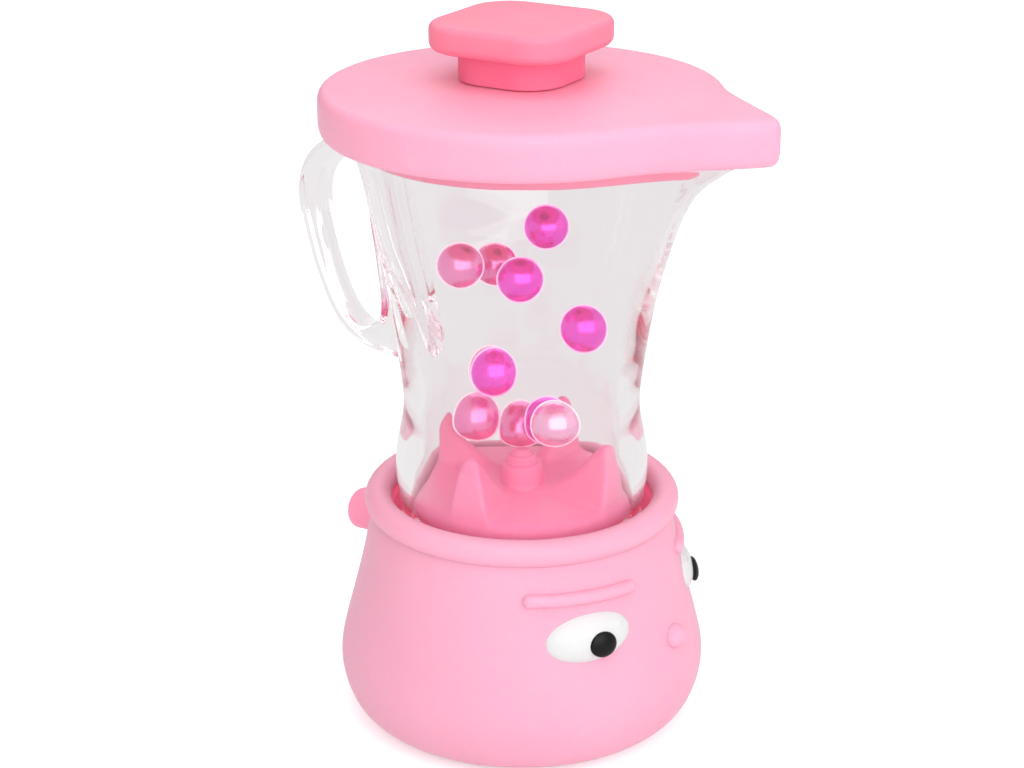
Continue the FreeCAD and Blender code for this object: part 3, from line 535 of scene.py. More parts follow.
# ---------------------------------------------------------------------------
# face: domes seated on the pot's curve
# ---------------------------------------------------------------------------
def dome(name, axes, ang, z, r, lean, roll, under=0.5, n=128, m=40, seat=None):
    """The outer part of an ellipsoid that stands on the pot, closed just below the pot's surface."""
    a = math.radians(-90 + ang)
    le, ro = math.radians(lean), math.radians(roll)
    out = np.array([math.cos(a) * math.cos(le), math.sin(a) * math.cos(le), math.sin(le)])
    sd = np.array([-math.sin(a), math.cos(a), 0.0])
    up = np.cross(out, sd)
    sx = sd * math.cos(ro) + up * math.sin(ro)
    ux = up * math.cos(ro) - sd * math.sin(ro)
    c = np.array([r * math.cos(a), r * math.sin(a), z])
    p, q, w = sx * axes[0], ux * axes[1], out * axes[2]

    def at(th, ph):
        return c + math.sin(th) * (math.cos(ph) * p + math.sin(ph) * q) + math.cos(th) * w

    def high(P):
        if seat is not None:
            return seat(P)
        return math.hypot(P[0], P[1]) - (pot_radius(P[2]) - under)

    ends = []
    for k in range(n):
        ph = 2 * math.pi * k / n
        lo, hi = 0.02, math.pi * 0.72
        if high(at(hi, ph)) > 0:
            ends.append(hi)
            continue
        for _ in range(40):
            mid = (lo + hi) / 2
            if high(at(mid, ph)) > 0:
                lo = mid
            else:
                hi = mid
        ends.append(lo)
    loops = []
    for j in range(1, m + 1):
        loops.append([at(ends[k] * j / m, 2 * math.pi * k / n) for k in range(n)])
    edge = np.array(loops[-1])
    mid = edge.mean(0)
    for j in range(1, 8):
        s = 1 - j / 8.0
        loop = []
        for P in edge:
            Q = mid + (P - mid) * s
            if seat is None:
                rho = math.hypot(Q[0], Q[1])
                g = (pot_radius(Q[2]) - under) / rho
                Q = np.array([Q[0] * g, Q[1] * g, Q[2]])
            loop.append(Q)
        loops.append(loop)
    last = np.array(loops[-1]).mean(0)
    v, f = rings(loops, False, at(0, 0), last)
    return new_object(name, v, f, 60)


EYE_AXES, PUPIL_AXES = (15.9, 9.6, 7.3), (4.9, 4.4, 2.0)
for sd_name, s in (("left", -1), ("right", 1)):
    white = dome("eye_white_%s_visual" % sd_name, EYE_AXES, s * 36.7, 49.4, pot_radius(50.4) - 3.88, 14.0, -s * 3.6,
                 n=160, m=56)
    place(white, "white", "base", "eye_white", "eye_white_" + sd_name)
    # the pupil closes just under the white's surface
    a = math.radians(-90 + s * 36.7)
    le, ro = math.radians(14.0), math.radians(-s * 3.6)
    o_ = np.array([math.cos(a) * math.cos(le), math.sin(a) * math.cos(le), math.sin(le)])
    d_ = np.array([-math.sin(a), math.cos(a), 0.0])
    u_ = np.cross(o_, d_)
    x_ = d_ * math.cos(ro) + u_ * math.sin(ro)
    y_ = u_ * math.cos(ro) - d_ * math.sin(ro)
    r_ = pot_radius(50.4) - 3.88
    c_ = np.array([r_ * math.cos(a), r_ * math.sin(a), 49.4])

    def on_white(P, c_=c_, x_=x_, y_=y_, o_=o_):
        d = np.asarray(P) - c_
        return math.sqrt((d @ x_ / 15.9) ** 2 + (d @ y_ / 9.6) ** 2 + (d @ o_ / 7.3) ** 2) - 0.965

    pup = dome("pupil_%s_visual" % sd_name, PUPIL_AXES, s * 33.6, 48.6, pot_radius(48.6) + 2.9, 10.0, 0.0,
               n=96, m=30, seat=on_white)
    place(pup, "black", "base", "pupil_black", "pupil_" + sd_name)

    # brow: a soft bar bent round the pot
    BR, BT = 54.75, 2.25
    lo, hi = math.radians(18.9), math.radians(57.4)

    def brow_z(ph):
        return 64.35 - 0.8 * (hi - ph) / (hi - lo)


    stations = []
    for k in range(12):
        q = math.pi / 2 * (k + 1) / 12.0
        stations.append((lo - math.cos(q) * BT / BR, math.sin(q) * BT))
    for k in range(1, 60):
        stations.append((lo + (hi - lo) * k / 60.0, BT))
    for k in range(12):
        q = math.pi / 2 * (12 - k) / 12.0
        stations.append((hi + math.cos(q) * BT / BR, math.sin(q) * BT))
    loops = []
    for ph, rad in stations:
        aa = -math.pi / 2 + s * ph
        loops.append([((BR + rad * math.cos(w)) * math.cos(aa), (BR + rad * math.cos(w)) * math.sin(aa),
                       brow_z(ph) + rad * math.sin(w)) for w in np.linspace(0, 2 * math.pi, 41)[:-1]])

    def tip(ph):
        aa = -math.pi / 2 + s * ph
        return (BR * math.cos(aa), BR * math.sin(aa), brow_z(ph))

    v, f = rings(loops, False, tip(lo - BT / BR), tip(hi + BT / BR))
    brow = new_object("brow_%s_visual" % sd_name, v, f, 60)
    place(brow, "body", "base", "body_pink", "brow_" + sd_name)

nose = dome("nose_visual", (5.1, 4.0, 4.7), 0.0, 39.3, 60.0, 0.0, 0.0, n=96, m=32)
place(nose, "body", "base", "body_pink", "nose")

# ---------------------------------------------------------------------------
# push button
# ---------------------------------------------------------------------------
prof = [(0.0, 70.5), (1.6, 70.48), (3.0, 70.4)]
prof += [(3.9 + 3.6 * math.sin(q), 66.8 + 3.6 * math.cos(q)) for q in np.linspace(0.12, math.pi / 2, 14)]
prof += [(7.5, 60.0), (7.5, 52.0), (8.3, 51.9, ), (8.4, 50.9), (8.2, 50.4), (5.6, 50.4), (5.6, 65.2), (5.2, 65.5),
         (0.0, 65.5)]
n = 128
loops = []
for r, y in prof[1:-1]:
    loop = []
    for i in range(n):
        w = 2 * math.pi * i / n
        z = r * math.sin(w)
        if y < 51.95 and z > 6.5:
            z = 6.5
        loop.append((r * math.cos(w), y, 59.0 + z))
    loops.append(loop)
v, f = rings(loops, False, (0, prof[0][1], 59.0), (0, prof[-1][1], 59.0))
button = new_object("power_button_visual", v, f, 40)
# the stem that passes through the spring to the switch
n = 48
loops = []
for r, y in ((1.2, 44.6), (1.6, 45.0), (1.6, 50.0), (1.6, 65.0)):
    loops.append([(r * math.cos(2 * math.pi * i / n), y, 54.6 + r * math.sin(2 * math.pi * i / n)) for i in range(n)])
v, f = rings(loops, False, (0, 44.6, 54.6), (0, 65.0, 54.6))
stem = new_object("stem", v, f)
button = join("power_button_visual", [button, stem])
tidy(button, 40)
place(button, "button", "button", "button_pink", "power_button")

# the return spring, a fixed copy of its mesh; the real one closes up as the button goes in
coil = NODES["button_spring"]
bpy.context.view_layer.update()
coil_mesh = coil.data.copy()
coil_mesh.transform(coil.matrix_world)
spring = bpy.data.objects.new("button_spring_visual", coil_mesh)
scene.collection.objects.link(spring)
place(spring, "spring", "base", "spring_steel", "button_spring")
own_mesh(spring)

# ---------------------------------------------------------------------------
# jar with its handle, one clear moulding
# ---------------------------------------------------------------------------
JAR_R = [(60.8, 41.2), (75.0, 41.8), (83.0, 42.8), (90.0, 43.6), (98.0, 43.2), (106.0, 41.7), (113.0, 40.6),
         (120.0, 40.7), (128.0, 41.6), (136.0, 42.6), (146.0, 43.9), (156.0, 45.4), (166.0, 47.4),
         (176.0, 49.4), (186.0, 51.3), (196.0, 53.4), (204.0, 55.6), (209.1, 57.2)]
SPOUT_S = [(60.8, 0.0), (130.0, 0.0), (140.0, 0.5), (150.0, 1.2), (160.0, 2.0), (168.0, 2.9),
           (176.0, 4.2), (184.0, 5.9), (192.0, 8.4), (198.0, 11.6), (204.0, 17.3), (209.1, 23.4)]
SPOUT_W = [(60.8, 24.0), (160.0, 24.0), (185.0, 18.0), (209.1, 12.0)]
WALL = [(60.0, 4.6), (75.0, 4.9), (83.0, 6.0), (90.0, 7.4), (98.0, 8.3), (106.0, 7.5), (113.0, 6.8), (120.0, 6.9),
        (128.0, 6.6), (136.0, 6.2), (146.0, 5.6), (156.0, 4.8), (166.0, 4.2), (176.0, 3.8), (209.1, 3.4)]


def wall(z):
    return smooth_table(WALL, z)


jar_line = spline_through([(z, r) for z, r in JAR_R], 600)


def jar_radius(z):
    return float(np.interp(z, jar_line[:, 0], jar_line[:, 1]))


HALF = 150
frac = np.linspace(0, 1, HALF + 1)
phi_half = 180.0 * (0.55 * frac + 0.45 * frac ** 3)
PHI = np.concatenate([phi_half, 360.0 - phi_half[1:-1][::-1]])


def jar_loop(z, inset=0.0, phi=PHI):
    r0, s0, w = jar_radius(z), smooth_table(SPOUT_S, z), table(SPOUT_W, z)
    ph = np.where(phi <= 180, phi, 360 - phi)
    ff = 1.0 / (1.0 + (ph / w) ** 2) * (0.5 + 0.5 * np.cos(np.pi * np.minimum(ph / 100.0, 1.0)))
    r = r0 + s0 * ff
    th = np.radians(-90.0 + phi)
    p = np.stack([r * np.cos(th), r * np.sin(th)], axis=1)
    return offset_loop(p, inset) if inset else p


def with_z(p, z):
    return [(x, y, z) for x, y in p]


def circle(r, z, phi=PHI):
    th = np.radians(-90.0 + phi)
    return [(r * math.cos(a), r * math.sin(a), z) for a in th]


loops = []
for k in range(7):                                   # foot's outer edge
    q = math.pi / 2 * k / 6
    loops.append(with_z(jar_loop(60.8, 1.3 * (1 - math.sin(q))), 60.8 + 1.3 * (1 - math.cos(q))))
for z in np.concatenate([np.arange(63.5, 150, 2.4), np.arange(150, 196, 1.6), np.arange(196, 206.6, 0.9)]):
    loops.append(with_z(jar_loop(z), z))
R_TOP = 1.7
for k in range(13):                                  # rolled top edge
    q = math.pi * k / 12
    z = 209.1 - R_TOP + R_TOP * math.sin(q)
    loops.append(with_z(jar_loop(z, R_TOP - R_TOP * math.cos(q)), z))
for z in np.concatenate([np.arange(206.4, 196, -0.9), np.arange(195.4, 150, -1.6), np.arange(149, 76.6, -2.4)]):
    loops.append(with_z(jar_loop(z, wall(z)), z))
FR = 4.5                                             # hollow corner round the floor
for k in range(10):
    q = math.pi / 2 * k / 9
    z = 71.5 + FR - FR * math.sin(q)
    loops.append(with_z(jar_loop(z, wall(z) + FR * (1 - math.cos(q))), z))
for r in (27.0, 20.0, 13.0, 8.0, 5.6):
    loops.append(circle(r, 71.5))
loops.append(circle(4.9, 71.3))
loops.append(circle(4.6, 70.9))
loops.append(circle(4.6, 69.3))
loops.append(circle(5.0, 69.0))
for r in (10.0, 18.0, 26.0, 33.0):
    loops.append(circle(r, 69.0))
for k in range(6):
    q = math.pi / 2 * k / 5
    loops.append(circle(34.9 + 2.0 * math.sin(q), 67.0 + 2.0 * math.cos(q)))
loops.append(circle(36.9, 64.0))
for k in range(6):
    q = math.pi / 2 * k / 5
    loops.append(circle(37.9 - 1.0 * math.cos(q), 61.8 - 1.0 * math.sin(q)))
v, f = rings(loops, True)
jar = new_object("jar_glass", v, f, 50)

H_OUT = [(40, 203), (58, 203.5), (70, 200.5), (79, 195.5), (85, 188.5), (87.6, 180), (87.2, 171), (85.0, 161.5),
         (82.5, 152.5), (79.0, 143.5), (75.0, 135.5), (69.0, 128.8), (61.5, 124.5), (52.0, 122.3), (38, 121.5)]
H_IN = [(63.5, 193.5), (70.0, 191.6), (75.8, 187.0), (78.9, 179.5), (78.7, 171.0), (76.8, 162.5), (74.4, 154.0),
        (71.4, 145.8), (67.6, 138.4), (62.4, 133.0), (57.2, 132.6), (54.6, 138.0), (55.0, 150.0), (56.6, 162.0),
        (58.6, 175.0), (60.2, 186.5)]
outer_line = spline_through(H_OUT, 400)
outer_line = outer_line[[y > jar_radius(z) - 1.6 for y, z in outer_line]]
zs = np.linspace(outer_line[-1][1], outer_line[0][1], 120)[1:-1]
inner_side = np.array([(jar_radius(z) - 1.6, z) for z in zs])
outline = np.vstack([outer_line, inner_side])         # clockwise from the top, back up inside the jar's wall
hole = spline_through(H_IN, 400, True)
CY, CZ = 67.0, 165.0


def by_angle(loop, n):
    """A star-shaped loop with its angles about the middle of the hole, unwrapped and made to rise."""
    ang = np.unwrap(np.arctan2(loop[:, 1] - CZ, loop[:, 0] - CY))
    if ang[-1] < ang[0]:
        loop, ang = loop[::-1], ang[::-1]
    return loop, ang


N_H = 280
o_loop, o_ang = by_angle(outline, N_H)
h_loop, h_ang = by_angle(hole, N_H)
mean_o = np.concatenate([[0], np.cumsum(np.linalg.norm(np.diff(o_loop, axis=0), axis=1))])
# stations: even along the outer outline, given as angles about the middle of the hole
s_even = np.linspace(0, mean_o[-1], N_H + 1)[:-1]
A_ST = np.interp(s_even, mean_o, o_ang)
even = np.linspace(A_ST[0], A_ST[0] + 2 * math.pi, N_H + 1)[:-1]
A_ST = 0.5 * A_ST + 0.5 * even


def read(loop, ang, a):
    base = ang[0]
    aa = base + np.mod(a - base, 2 * math.pi)
    x = np.interp(aa, np.append(ang, ang[0] + 2 * math.pi), np.append(loop[:, 0], loop[0, 0]))
    z = np.interp(aa, np.append(ang, ang[0] + 2 * math.pi), np.append(loop[:, 1], loop[0, 1]))
    return np.stack([x, z], axis=1)


O2 = read(o_loop, o_ang, A_ST)
I2 = read(h_loop, h_ang, A_ST)
FIL, HW = 2.6, 6.0
deep = np.array([y - (jar_radius(z) - 1.6) for y, z in O2])
free = np.clip(deep / 2.0, 0, 1)[:, None]
free = free * free * (3 - 2 * free)


def out_at(d):
    """The outer outline moved in by d, except where it runs inside the jar's wall."""
    return O2 + (offset_loop(O2, d) - O2) * free


sections = []
steps = [(FIL * (1 - math.cos(q)), HW - FIL + FIL * math.sin(q)) for q in np.linspace(0, math.pi / 2, 8)]
for d, x in reversed(steps):                           # outer wall, from +X cap round to -X cap
    sections.append((out_at(d), x))
for d, x in [(0.0, HW - FIL - k * (2 * (HW - FIL)) / 6) for k in range(1, 6)] + [(d, -x) for d, x in steps]:
    sections.append((out_at(d), x))
OE, IE = out_at(FIL), offset_loop(I2, -FIL)
for k in range(1, 4):
    sections.append((OE + (IE - OE) * k / 4.0, -HW))
for d, x in [(d, -x) for d, x in reversed(steps)]:
    sections.append((offset_loop(I2, -d), x))
for d, x in [(0.0, -(HW - FIL) + k * (2 * (HW - FIL)) / 6) for k in range(1, 6)] + [(d, x) for d, x in steps]:
    sections.append((offset_loop(I2, -d), x))
for k in range(1, 4):
    sections.append((IE + (OE - IE) * k / 4.0, HW))
loops = [[(x, y, z) for y, z in p] for p, x in sections]
v, f = rings(loops, True)
handle = new_object("handle_part", v, f, 50)
boolean(jar, handle, "UNION")
tidy(jar, 34)
jar.visible_shadow = False
place(jar, "clear", "jar", "clear_plastic", "jar_body", "jar_handle")


# ---------------------------------------------------------------------------
# impeller: dish and four sweeping fins as one blended skin
# ---------------------------------------------------------------------------
def skin(name, f, org, h, relax=3):
    """Closed quad skin of the zero level of f (negative inside) on an even grid."""
    nx, ny, nz = f.shape
    s = f < 0
    cnt = np.zeros((nx - 1, ny - 1, nz - 1), int)
    for i in (0, 1):
        for j in (0, 1):
            for k in (0, 1):
                cnt += s[i:nx - 1 + i, j:ny - 1 + j, k:nz - 1 + k]
    mixed = (cnt > 0) & (cnt < 8)
    idx = -np.ones(mixed.shape, int)
    idx[mixed] = np.arange(mixed.sum())
    acc = np.zeros(mixed.shape + (3,))
    num = np.zeros(mixed.shape)
    for ax in range(3):
        others = [a for a in range(3) if a != ax]
        for u in (0, 1):
            for w in (0, 1):
                off0 = [0, 0, 0]
                off0[others[0]], off0[others[1]] = u, w
                off1 = list(off0)
                off1[ax] = 1
                e0 = f[off0[0]:nx - 1 + off0[0], off0[1]:ny - 1 + off0[1], off0[2]:nz - 1 + off0[2]]
                e1 = f[off1[0]:nx - 1 + off1[0], off1[1]:ny - 1 + off1[1], off1[2]:nz - 1 + off1[2]]
                hit = (e0 < 0) != (e1 < 0)
                with np.errstate(divide="ignore", invalid="ignore"):
                    tt = np.where(hit, e0 / (e0 - e1), 0.0)
                for a in range(3):
                    acc[..., a] += np.where(hit, tt if a == ax else off0[a], 0.0)
                num += hit
    I, J, K = np.nonzero(mixed)
    pos = acc[mixed] / num[mixed][:, None] + np.stack([I, J, K], axis=1)
    quads = []
    for ax in range(3):
        o1, o2 = [a for a in range(3) if a != ax]
        sl0, sl1 = [slice(None)] * 3, [slice(None)] * 3
        sl0[ax], sl1[ax] = slice(0, -1), slice(1, None)
        flip = s[tuple(sl0)] != s[tuple(sl1)]
        e = np.argwhere(flip)
        e = e[(e[:, o1] > 0) & (e[:, o2] > 0)]
        e = e[(e[:, o1] < f.shape[o1] - 1) & (e[:, o2] < f.shape[o2] - 1)]
        cells = []
        for u, w in ((-1, -1), (0, -1), (0, 0), (-1, 0)):
            c = e.copy()
            c[:, o1] += u
            c[:, o2] += w
            cells.append(idx[c[:, 0], c[:, 1], c[:, 2]])
        quads.append(np.stack(cells, axis=1))
    quads = np.vstack(quads)
    edges = np.vstack([quads[:, [0, 1]], quads[:, [1, 2]], quads[:, [2, 3]], quads[:, [3, 0]]])
    edges = np.unique(np.sort(edges, axis=1), axis=0)
    for _ in range(relax):
        total = np.zeros_like(pos)
        many = np.zeros(len(pos))
        for a, b in ((0, 1), (1, 0)):
            np.add.at(total, edges[:, a], pos[edges[:, b]])
            np.add.at(many, edges[:, a], 1)
        pos = pos * 0.4 + 0.6 * total / many[:, None]
    verts = np.array(org) + pos * h
    return new_object(name, verts.tolist(), quads.tolist(), 70)


def smax(a, b, k):
    hh = np.maximum(k - np.abs(a - b), 0) / k
    return np.maximum(a, b) + hh * hh * k / 4


def smin(a, b, k):
    return -smax(-a, -b, k)


STEP = 0.5
gx = np.arange(-38.0, 38.01, STEP) + 0.013
gz = np.arange(70.5, 106.6, STEP) + 0.011
X, Y, Z = np.meshgrid(gx, gx, gz, indexing="ij")
R = np.hypot(X, Y)
DISH = [(-8, 72.4), (27.5, 72.4), (30.0, 72.75), (31.9, 73.6), (33.4, 74.7), (34.6, 76.1), (35.5, 77.8),
        (35.95, 79.6), (35.95, 81.2), (35.5, 82.5), (34.6, 83.5), (33.2, 84.2), (30.5, 84.45), (-8, 84.4)]
# distance to the dish's section
best = np.full(R.shape, 1e9)
inside = np.zeros(R.shape, bool)
for (ax_, az_), (bx_, bz_) in zip(DISH, DISH[1:] + DISH[:1]):
    ex, ez = bx_ - ax_, bz_ - az_
    tt = np.clip(((R - ax_) * ex + (Z - az_) * ez) / (ex * ex + ez * ez), 0, 1)
    best = np.minimum(best, np.hypot(R - ax_ - tt * ex, Z - az_ - tt * ez))
    cross = ((az_ > Z) != (bz_ > Z)) & (R < ax_ + (Z - az_) * ex / (ez if abs(ez) > 1e-9 else 1e-9))
    inside ^= cross
d_dish = np.where(inside, -best, best)
FIN = [(84.0, 8.5, 34.2, 2.6, 7.6), (88.0, 16.0, 34.1, 2.6, 6.6), (92.0, 21.0, 33.9, 2.6, 5.6),
       (96.5, 25.0, 33.7, 2.5, 4.6), (100.5, 28.0, 33.5, 2.3, 3.7), (103.2, 30.0, 33.1, 1.9, 2.7),
       (104.7, 31.0, 32.5, 1.0, 1.3)]
fz = [q[0] for q in FIN]
U = np.maximum(np.abs(X), np.abs(Y))
W = np.minimum(np.abs(X), np.abs(Y))
r0 = np.interp(Z, fz, [q[1] for q in FIN])
r1 = np.interp(Z, fz, [q[2] for q in FIN])
h0 = np.interp(Z, fz, [q[3] for q in FIN])
h1 = np.interp(Z, fz, [q[4] for q in FIN])
ridge_u = spline_through([(6.0, 83.2), (8.5, 84.0), (16.0, 88.0), (21.0, 92.0), (25.0, 96.5), (28.0, 100.5),
                          (30.0, 103.2), (31.2, 104.7), (33.0, 105.4)], 200)
ridge = np.interp(U, ridge_u[:, 0], ridge_u[:, 1])
slope = np.gradient(ridge_u[:, 1], ridge_u[:, 0])
cosr = 1 / np.sqrt(1 + np.interp(U, ridge_u[:, 0], slope) ** 2)
hw = h0 + (h1 - h0) * np.clip((U - r0) / np.maximum(r1 - r0, 0.5), 0, 1)
d_side = (W - hw) * 0.97
d_top = smax((Z - ridge) * cosr, Z - 105.0, 1.2)
d_out = (U - r1) * 0.99
d_fin = smax(smax(d_side, d_top, 2.0), d_out, 1.6)
d_fin = smax(d_fin, 78.0 - Z, 0.5)
field = smin(d_dish, d_fin, 2.2)
field = np.maximum(field, 2.05 - R)
impeller = skin("impeller_visual", field, (gx[0], gx[0], gz[0]), STEP)
place(impeller, "impeller", "impeller", "impeller_pink", "impeller")

# hub cap: three soft steps
corners = [(0.0, 96.6), (3.1, 96.6, 0.8), (3.35, 93.7, 0.5), (5.0, 93.6, 0.9), (5.3, 90.4, 0.6), (7.4, 90.3, 1.0),
           (7.75, 84.0, 0.0), (0.0, 84.0)]
pr = arc_corners(corners, False, 8)
dense = [pr[0]]
for a, b in zip(pr, pr[1:]):
    L = math.hypot(b[0] - a[0], b[1] - a[1])
    k = max(1, int(L / 0.8))
    dense += [(a[0] + (b[0] - a[0]) * i / k, a[1] + (b[1] - a[1]) * i / k) for i in range(1, k + 1)]
hub = lathe("hub_cap_visual", dense, 128, 50)
place(hub, "impeller", "impeller", "impeller_pink", "hub_cap")

# ---------------------------------------------------------------------------
# lid and stopper
# ---------------------------------------------------------------------------
LID_R = 66.8
FLANK = [(34.5, -57.5), (29.8, -61.3), (25.2, -65.9), (18.7, -73.2), (12.4, -80.6), (7.2, -86.6), (3.4, -90.4)]
base_pts = [(0.0, -91.9)] + [(x, y) for x, y in reversed(FLANK)]
a = -52.0
while a < 232.1:
    base_pts.append((LID_R * math.cos(math.radians(a)), LID_R * math.sin(math.radians(a))))
    a += 8.114286
base_pts += [(-x, y) for x, y in FLANK]
LID_OUT = spline_through(base_pts, 2400, True)
# read out at angles that are finer round the spout
lid_phi = np.mod(np.degrees(np.arctan2(LID_OUT[:, 1], LID_OUT[:, 0])) + 90.0, 360.0)


def resample(loop, n=360):
    """Even steps by length, but three times finer round the spout's tip."""
    p = np.vstack([loop, loop[:1]])
    seg = np.linalg.norm(np.diff(p, axis=0), axis=1)
    mid = (p[1:] + p[:-1]) / 2
    w = seg * (1 + 2.2 * np.exp(-((mid[:, 1] + 92.0) / 12.0) ** 2))
    c = np.concatenate([[0], np.cumsum(w)])
    q = np.linspace(0, c[-1], n + 1)[:-1]
    return np.stack([np.interp(q, c, p[:, 0]), np.interp(q, c, p[:, 1])], axis=1)


L0 = resample(LID_OUT)
NL = len(L0)
lid_ang = np.arctan2(L0[:, 1], L0[:, 0])


def lid_inset(d):
    """The outline moved in by d; the tip's points are kept from crossing."""
    p = offset_loop(L0, d)
    # smooth the tip a little, more the further in
    k = int(d * 3)
    for _ in range(k):
        q = (np.roll(p, 1, axis=0) + np.roll(p, -1, axis=0)) / 2
        near = np.exp(-((L0[:, 1] + 92.0) / 10.0) ** 2)[:, None] * 0.5
        p = p * (1 - near) + q * near
    return p


def lid_circle(r):
    return np.stack([r * np.cos(lid_ang), r * np.sin(lid_ang)], axis=1)


def crown(p):
    r2 = (p[:, 0] ** 2 + p[:, 1] ** 2) / 62.5 ** 2
    return 224.7 + 2.6 * np.maximum(1 - r2, 0) ** 1.0


LID_EDGE = [(209.4, 3.0), (209.42, 2.4), (209.65, 1.75), (210.15, 1.15), (210.9, 0.65), (211.9, 0.28), (213.0, 0.07),
            (214.2, 0.0), (217.0, 0.0), (219.4, 0.0), (221.0, 0.04), (222.0, 0.2), (222.9, 0.5), (223.65, 1.0),
            (224.2, 1.65), (224.55, 2.4), (224.7, 3.2)]
loops = []
for z, i in LID_EDGE:
    p = lid_inset(i)
    loops.append(with_z(p, z))
start, end = lid_inset(3.2), lid_circle(17.35)
for k in range(1, 31):
    s = k / 30.0
    p = start * (1 - s) + end * s
    zz = crown(p)
    lift = min(1.0, s / 0.12)
    zz = 224.7 + (zz - 224.7) * (lift * lift * (3 - 2 * lift))
    loops.append([(x, y, z) for (x, y), z in zip(p, zz)])
c1, c2 = lid_circle(17.35), lid_circle(19.2)
for z in (224.0, 218.0, 212.0, 206.6):
    loops.append(with_z(c1, z))
loops.append(with_z(lid_circle(17.6), 206.4))
loops.append(with_z(lid_circle(18.9), 206.4))
for z in (206.8, 212.0, 217.0, 221.5):
    loops.append(with_z(c2, z))
cav = lid_inset(4.8)
loops.append(with_z(lid_circle(20.2), 221.7))
for s in (0.2, 0.4, 0.6, 0.8, 0.97):
    loops.append(with_z(lid_circle(20.2) * (1 - s) + cav * s, 221.7))
for z in (221.4, 218.0, 214.0, 209.6):
    loops.append(with_z(cav, z))
loops.append(with_z(lid_inset(4.4), 209.4))
v, f = rings(loops, True)
lid = new_object("lid_shell_visual", v, f, 40)
place(lid, "lid", "lid", "lid_pink", "lid_shell")

# the stopper: follows the jar's mouth, with a flange that closes the lid's underside
z0 = 204.2
plug_dense = jar_loop(z0, wall(z0) + 0.5, np.linspace(0, 360, 1441)[:-1])
plug_dense[:, 1] = np.maximum(plug_dense[:, 1], -65.5 + 0.02 * plug_dense[:, 0] ** 2)
pa = np.unwrap(np.arctan2(plug_dense[:, 1], plug_dense[:, 0]))


def plug_at(d):
    p = offset_loop(plug_dense, d)
    for _ in range(10):
        p = 0.5 * p + 0.25 * (np.roll(p, 1, axis=0) + np.roll(p, -1, axis=0))
    ang = np.unwrap(np.arctan2(p[:, 1], p[:, 0]))
    base = ang[0]
    q = base + np.mod(lid_ang - base, 2 * math.pi)
    x = np.interp(q, np.append(ang, base + 2 * math.pi), np.append(p[:, 0], p[0, 0]))
    y = np.interp(q, np.append(ang, base + 2 * math.pi), np.append(p[:, 1], p[0, 1]))
    return np.stack([x, y], axis=1)


flange = lid_inset(4.9)
loops = []
for k in range(7):
    q = math.pi / 2 * k / 6
    loops.append(with_z(plug_at(1.0 * (1 - math.sin(q))), z0 + 1.0 * (1 - math.cos(q))))
for z in (206.0, 207.6, 209.2):
    loops.append(with_z(plug_at(0.0), z))
for s in (0.05, 0.35, 0.65, 0.98):
    loops.append(with_z(plug_at(0.0) * (1 - s) + flange * s, 209.4))
loops.append(with_z(flange, 209.6))
loops.append(with_z(flange, 211.0))
for s in (0.02, 0.35, 0.65, 0.98):
    loops.append(with_z(flange * (1 - s) + plug_at(2.2) * s, 211.2))
for z in (210.9, 209.0, 206.6):
    loops.append(with_z(plug_at(2.2), z))
ring_in = lid_circle(17.4)
for s in (0.03, 0.3, 0.6, 0.97):
    loops.append(with_z(plug_at(2.2) * (1 - s) + ring_in * s, 206.4))
loops.append(with_z(ring_in, 206.2))
loops.append(with_z(ring_in, 204.5))
for s in (0.02, 0.35, 0.68, 0.99):
    loops.append(with_z(ring_in * (1 - s) + plug_at(1.2) * s, 204.2))
v, f = rings(loops, True)
plug = new_object("lid_plug_visual", v, f, 40)
place(plug, "plug", "lid", "plug_pink", "lid_plug")


# ---------------------------------------------------------------------------
# lid cap: pillow-edged square knob on a square neck
# ---------------------------------------------------------------------------
def squircle(half, corner, d=0.0, n_side=14, n_arc=22):
    """Rounded square moved in by d, with equal point counts."""
    h, c = half - d, max(corner - d, 0.3)
    out = []
    for k in range(4):
        a0 = math.pi / 2 * k
        cx, cy = (h - c), (h - c)
        ca, sa = math.cos(a0), math.sin(a0)
        for j in range(n_arc):
            q = math.pi / 2 * j / n_arc
            x, y = cx + c * math.cos(q), cy + c * math.sin(q)
            out.append((x * ca - y * sa, x * sa + y * ca))
        for j in range(n_side):
            s = j / n_side
            x, y = cx - 2 * cx * s, h
            out.append((x * ca - y * sa, x * sa + y * ca))
    return np.array(out)


KH, KC = 26.0, 14.9
loops = []
for s in (0.25, 0.5, 0.75, 0.93):
    loops.append(with_z(squircle(KH, KC, 3.0) * s, 237.2))
for k in range(12):
    q = math.pi / 2 * k / 11
    loops.append(with_z(squircle(KH, KC, 3.3 * (1 - math.sin(q))), 237.2 + 3.3 * (1 - math.cos(q))))
for z in (241.2, 242.1, 243.0):
    loops.append(with_z(squircle(KH, KC, 0.0), z))
TOPR, TOPZ = 2.5, 246.7
for k in range(14):
    q = math.pi / 2 * k / 13
    loops.append(with_z(squircle(KH, KC, TOPR * (1 - math.cos(q))), TOPZ - TOPR + TOPR * math.sin(q)))
edge = squircle(KH, KC, TOPR)
for k in range(1, 20):
    s = 1 - k / 20.0
    p = edge * s
    loops.append(with_z(p, TOPZ + 0.6 * (1 - s ** 2.2)))
v, f = rings(loops, False, (0, 0, 237.2), (0, 0, 247.3))
knob = new_object("cap_knob_visual", v, f, 45)
place(knob, "knob", "cap", "knob_pink", "cap_knob")

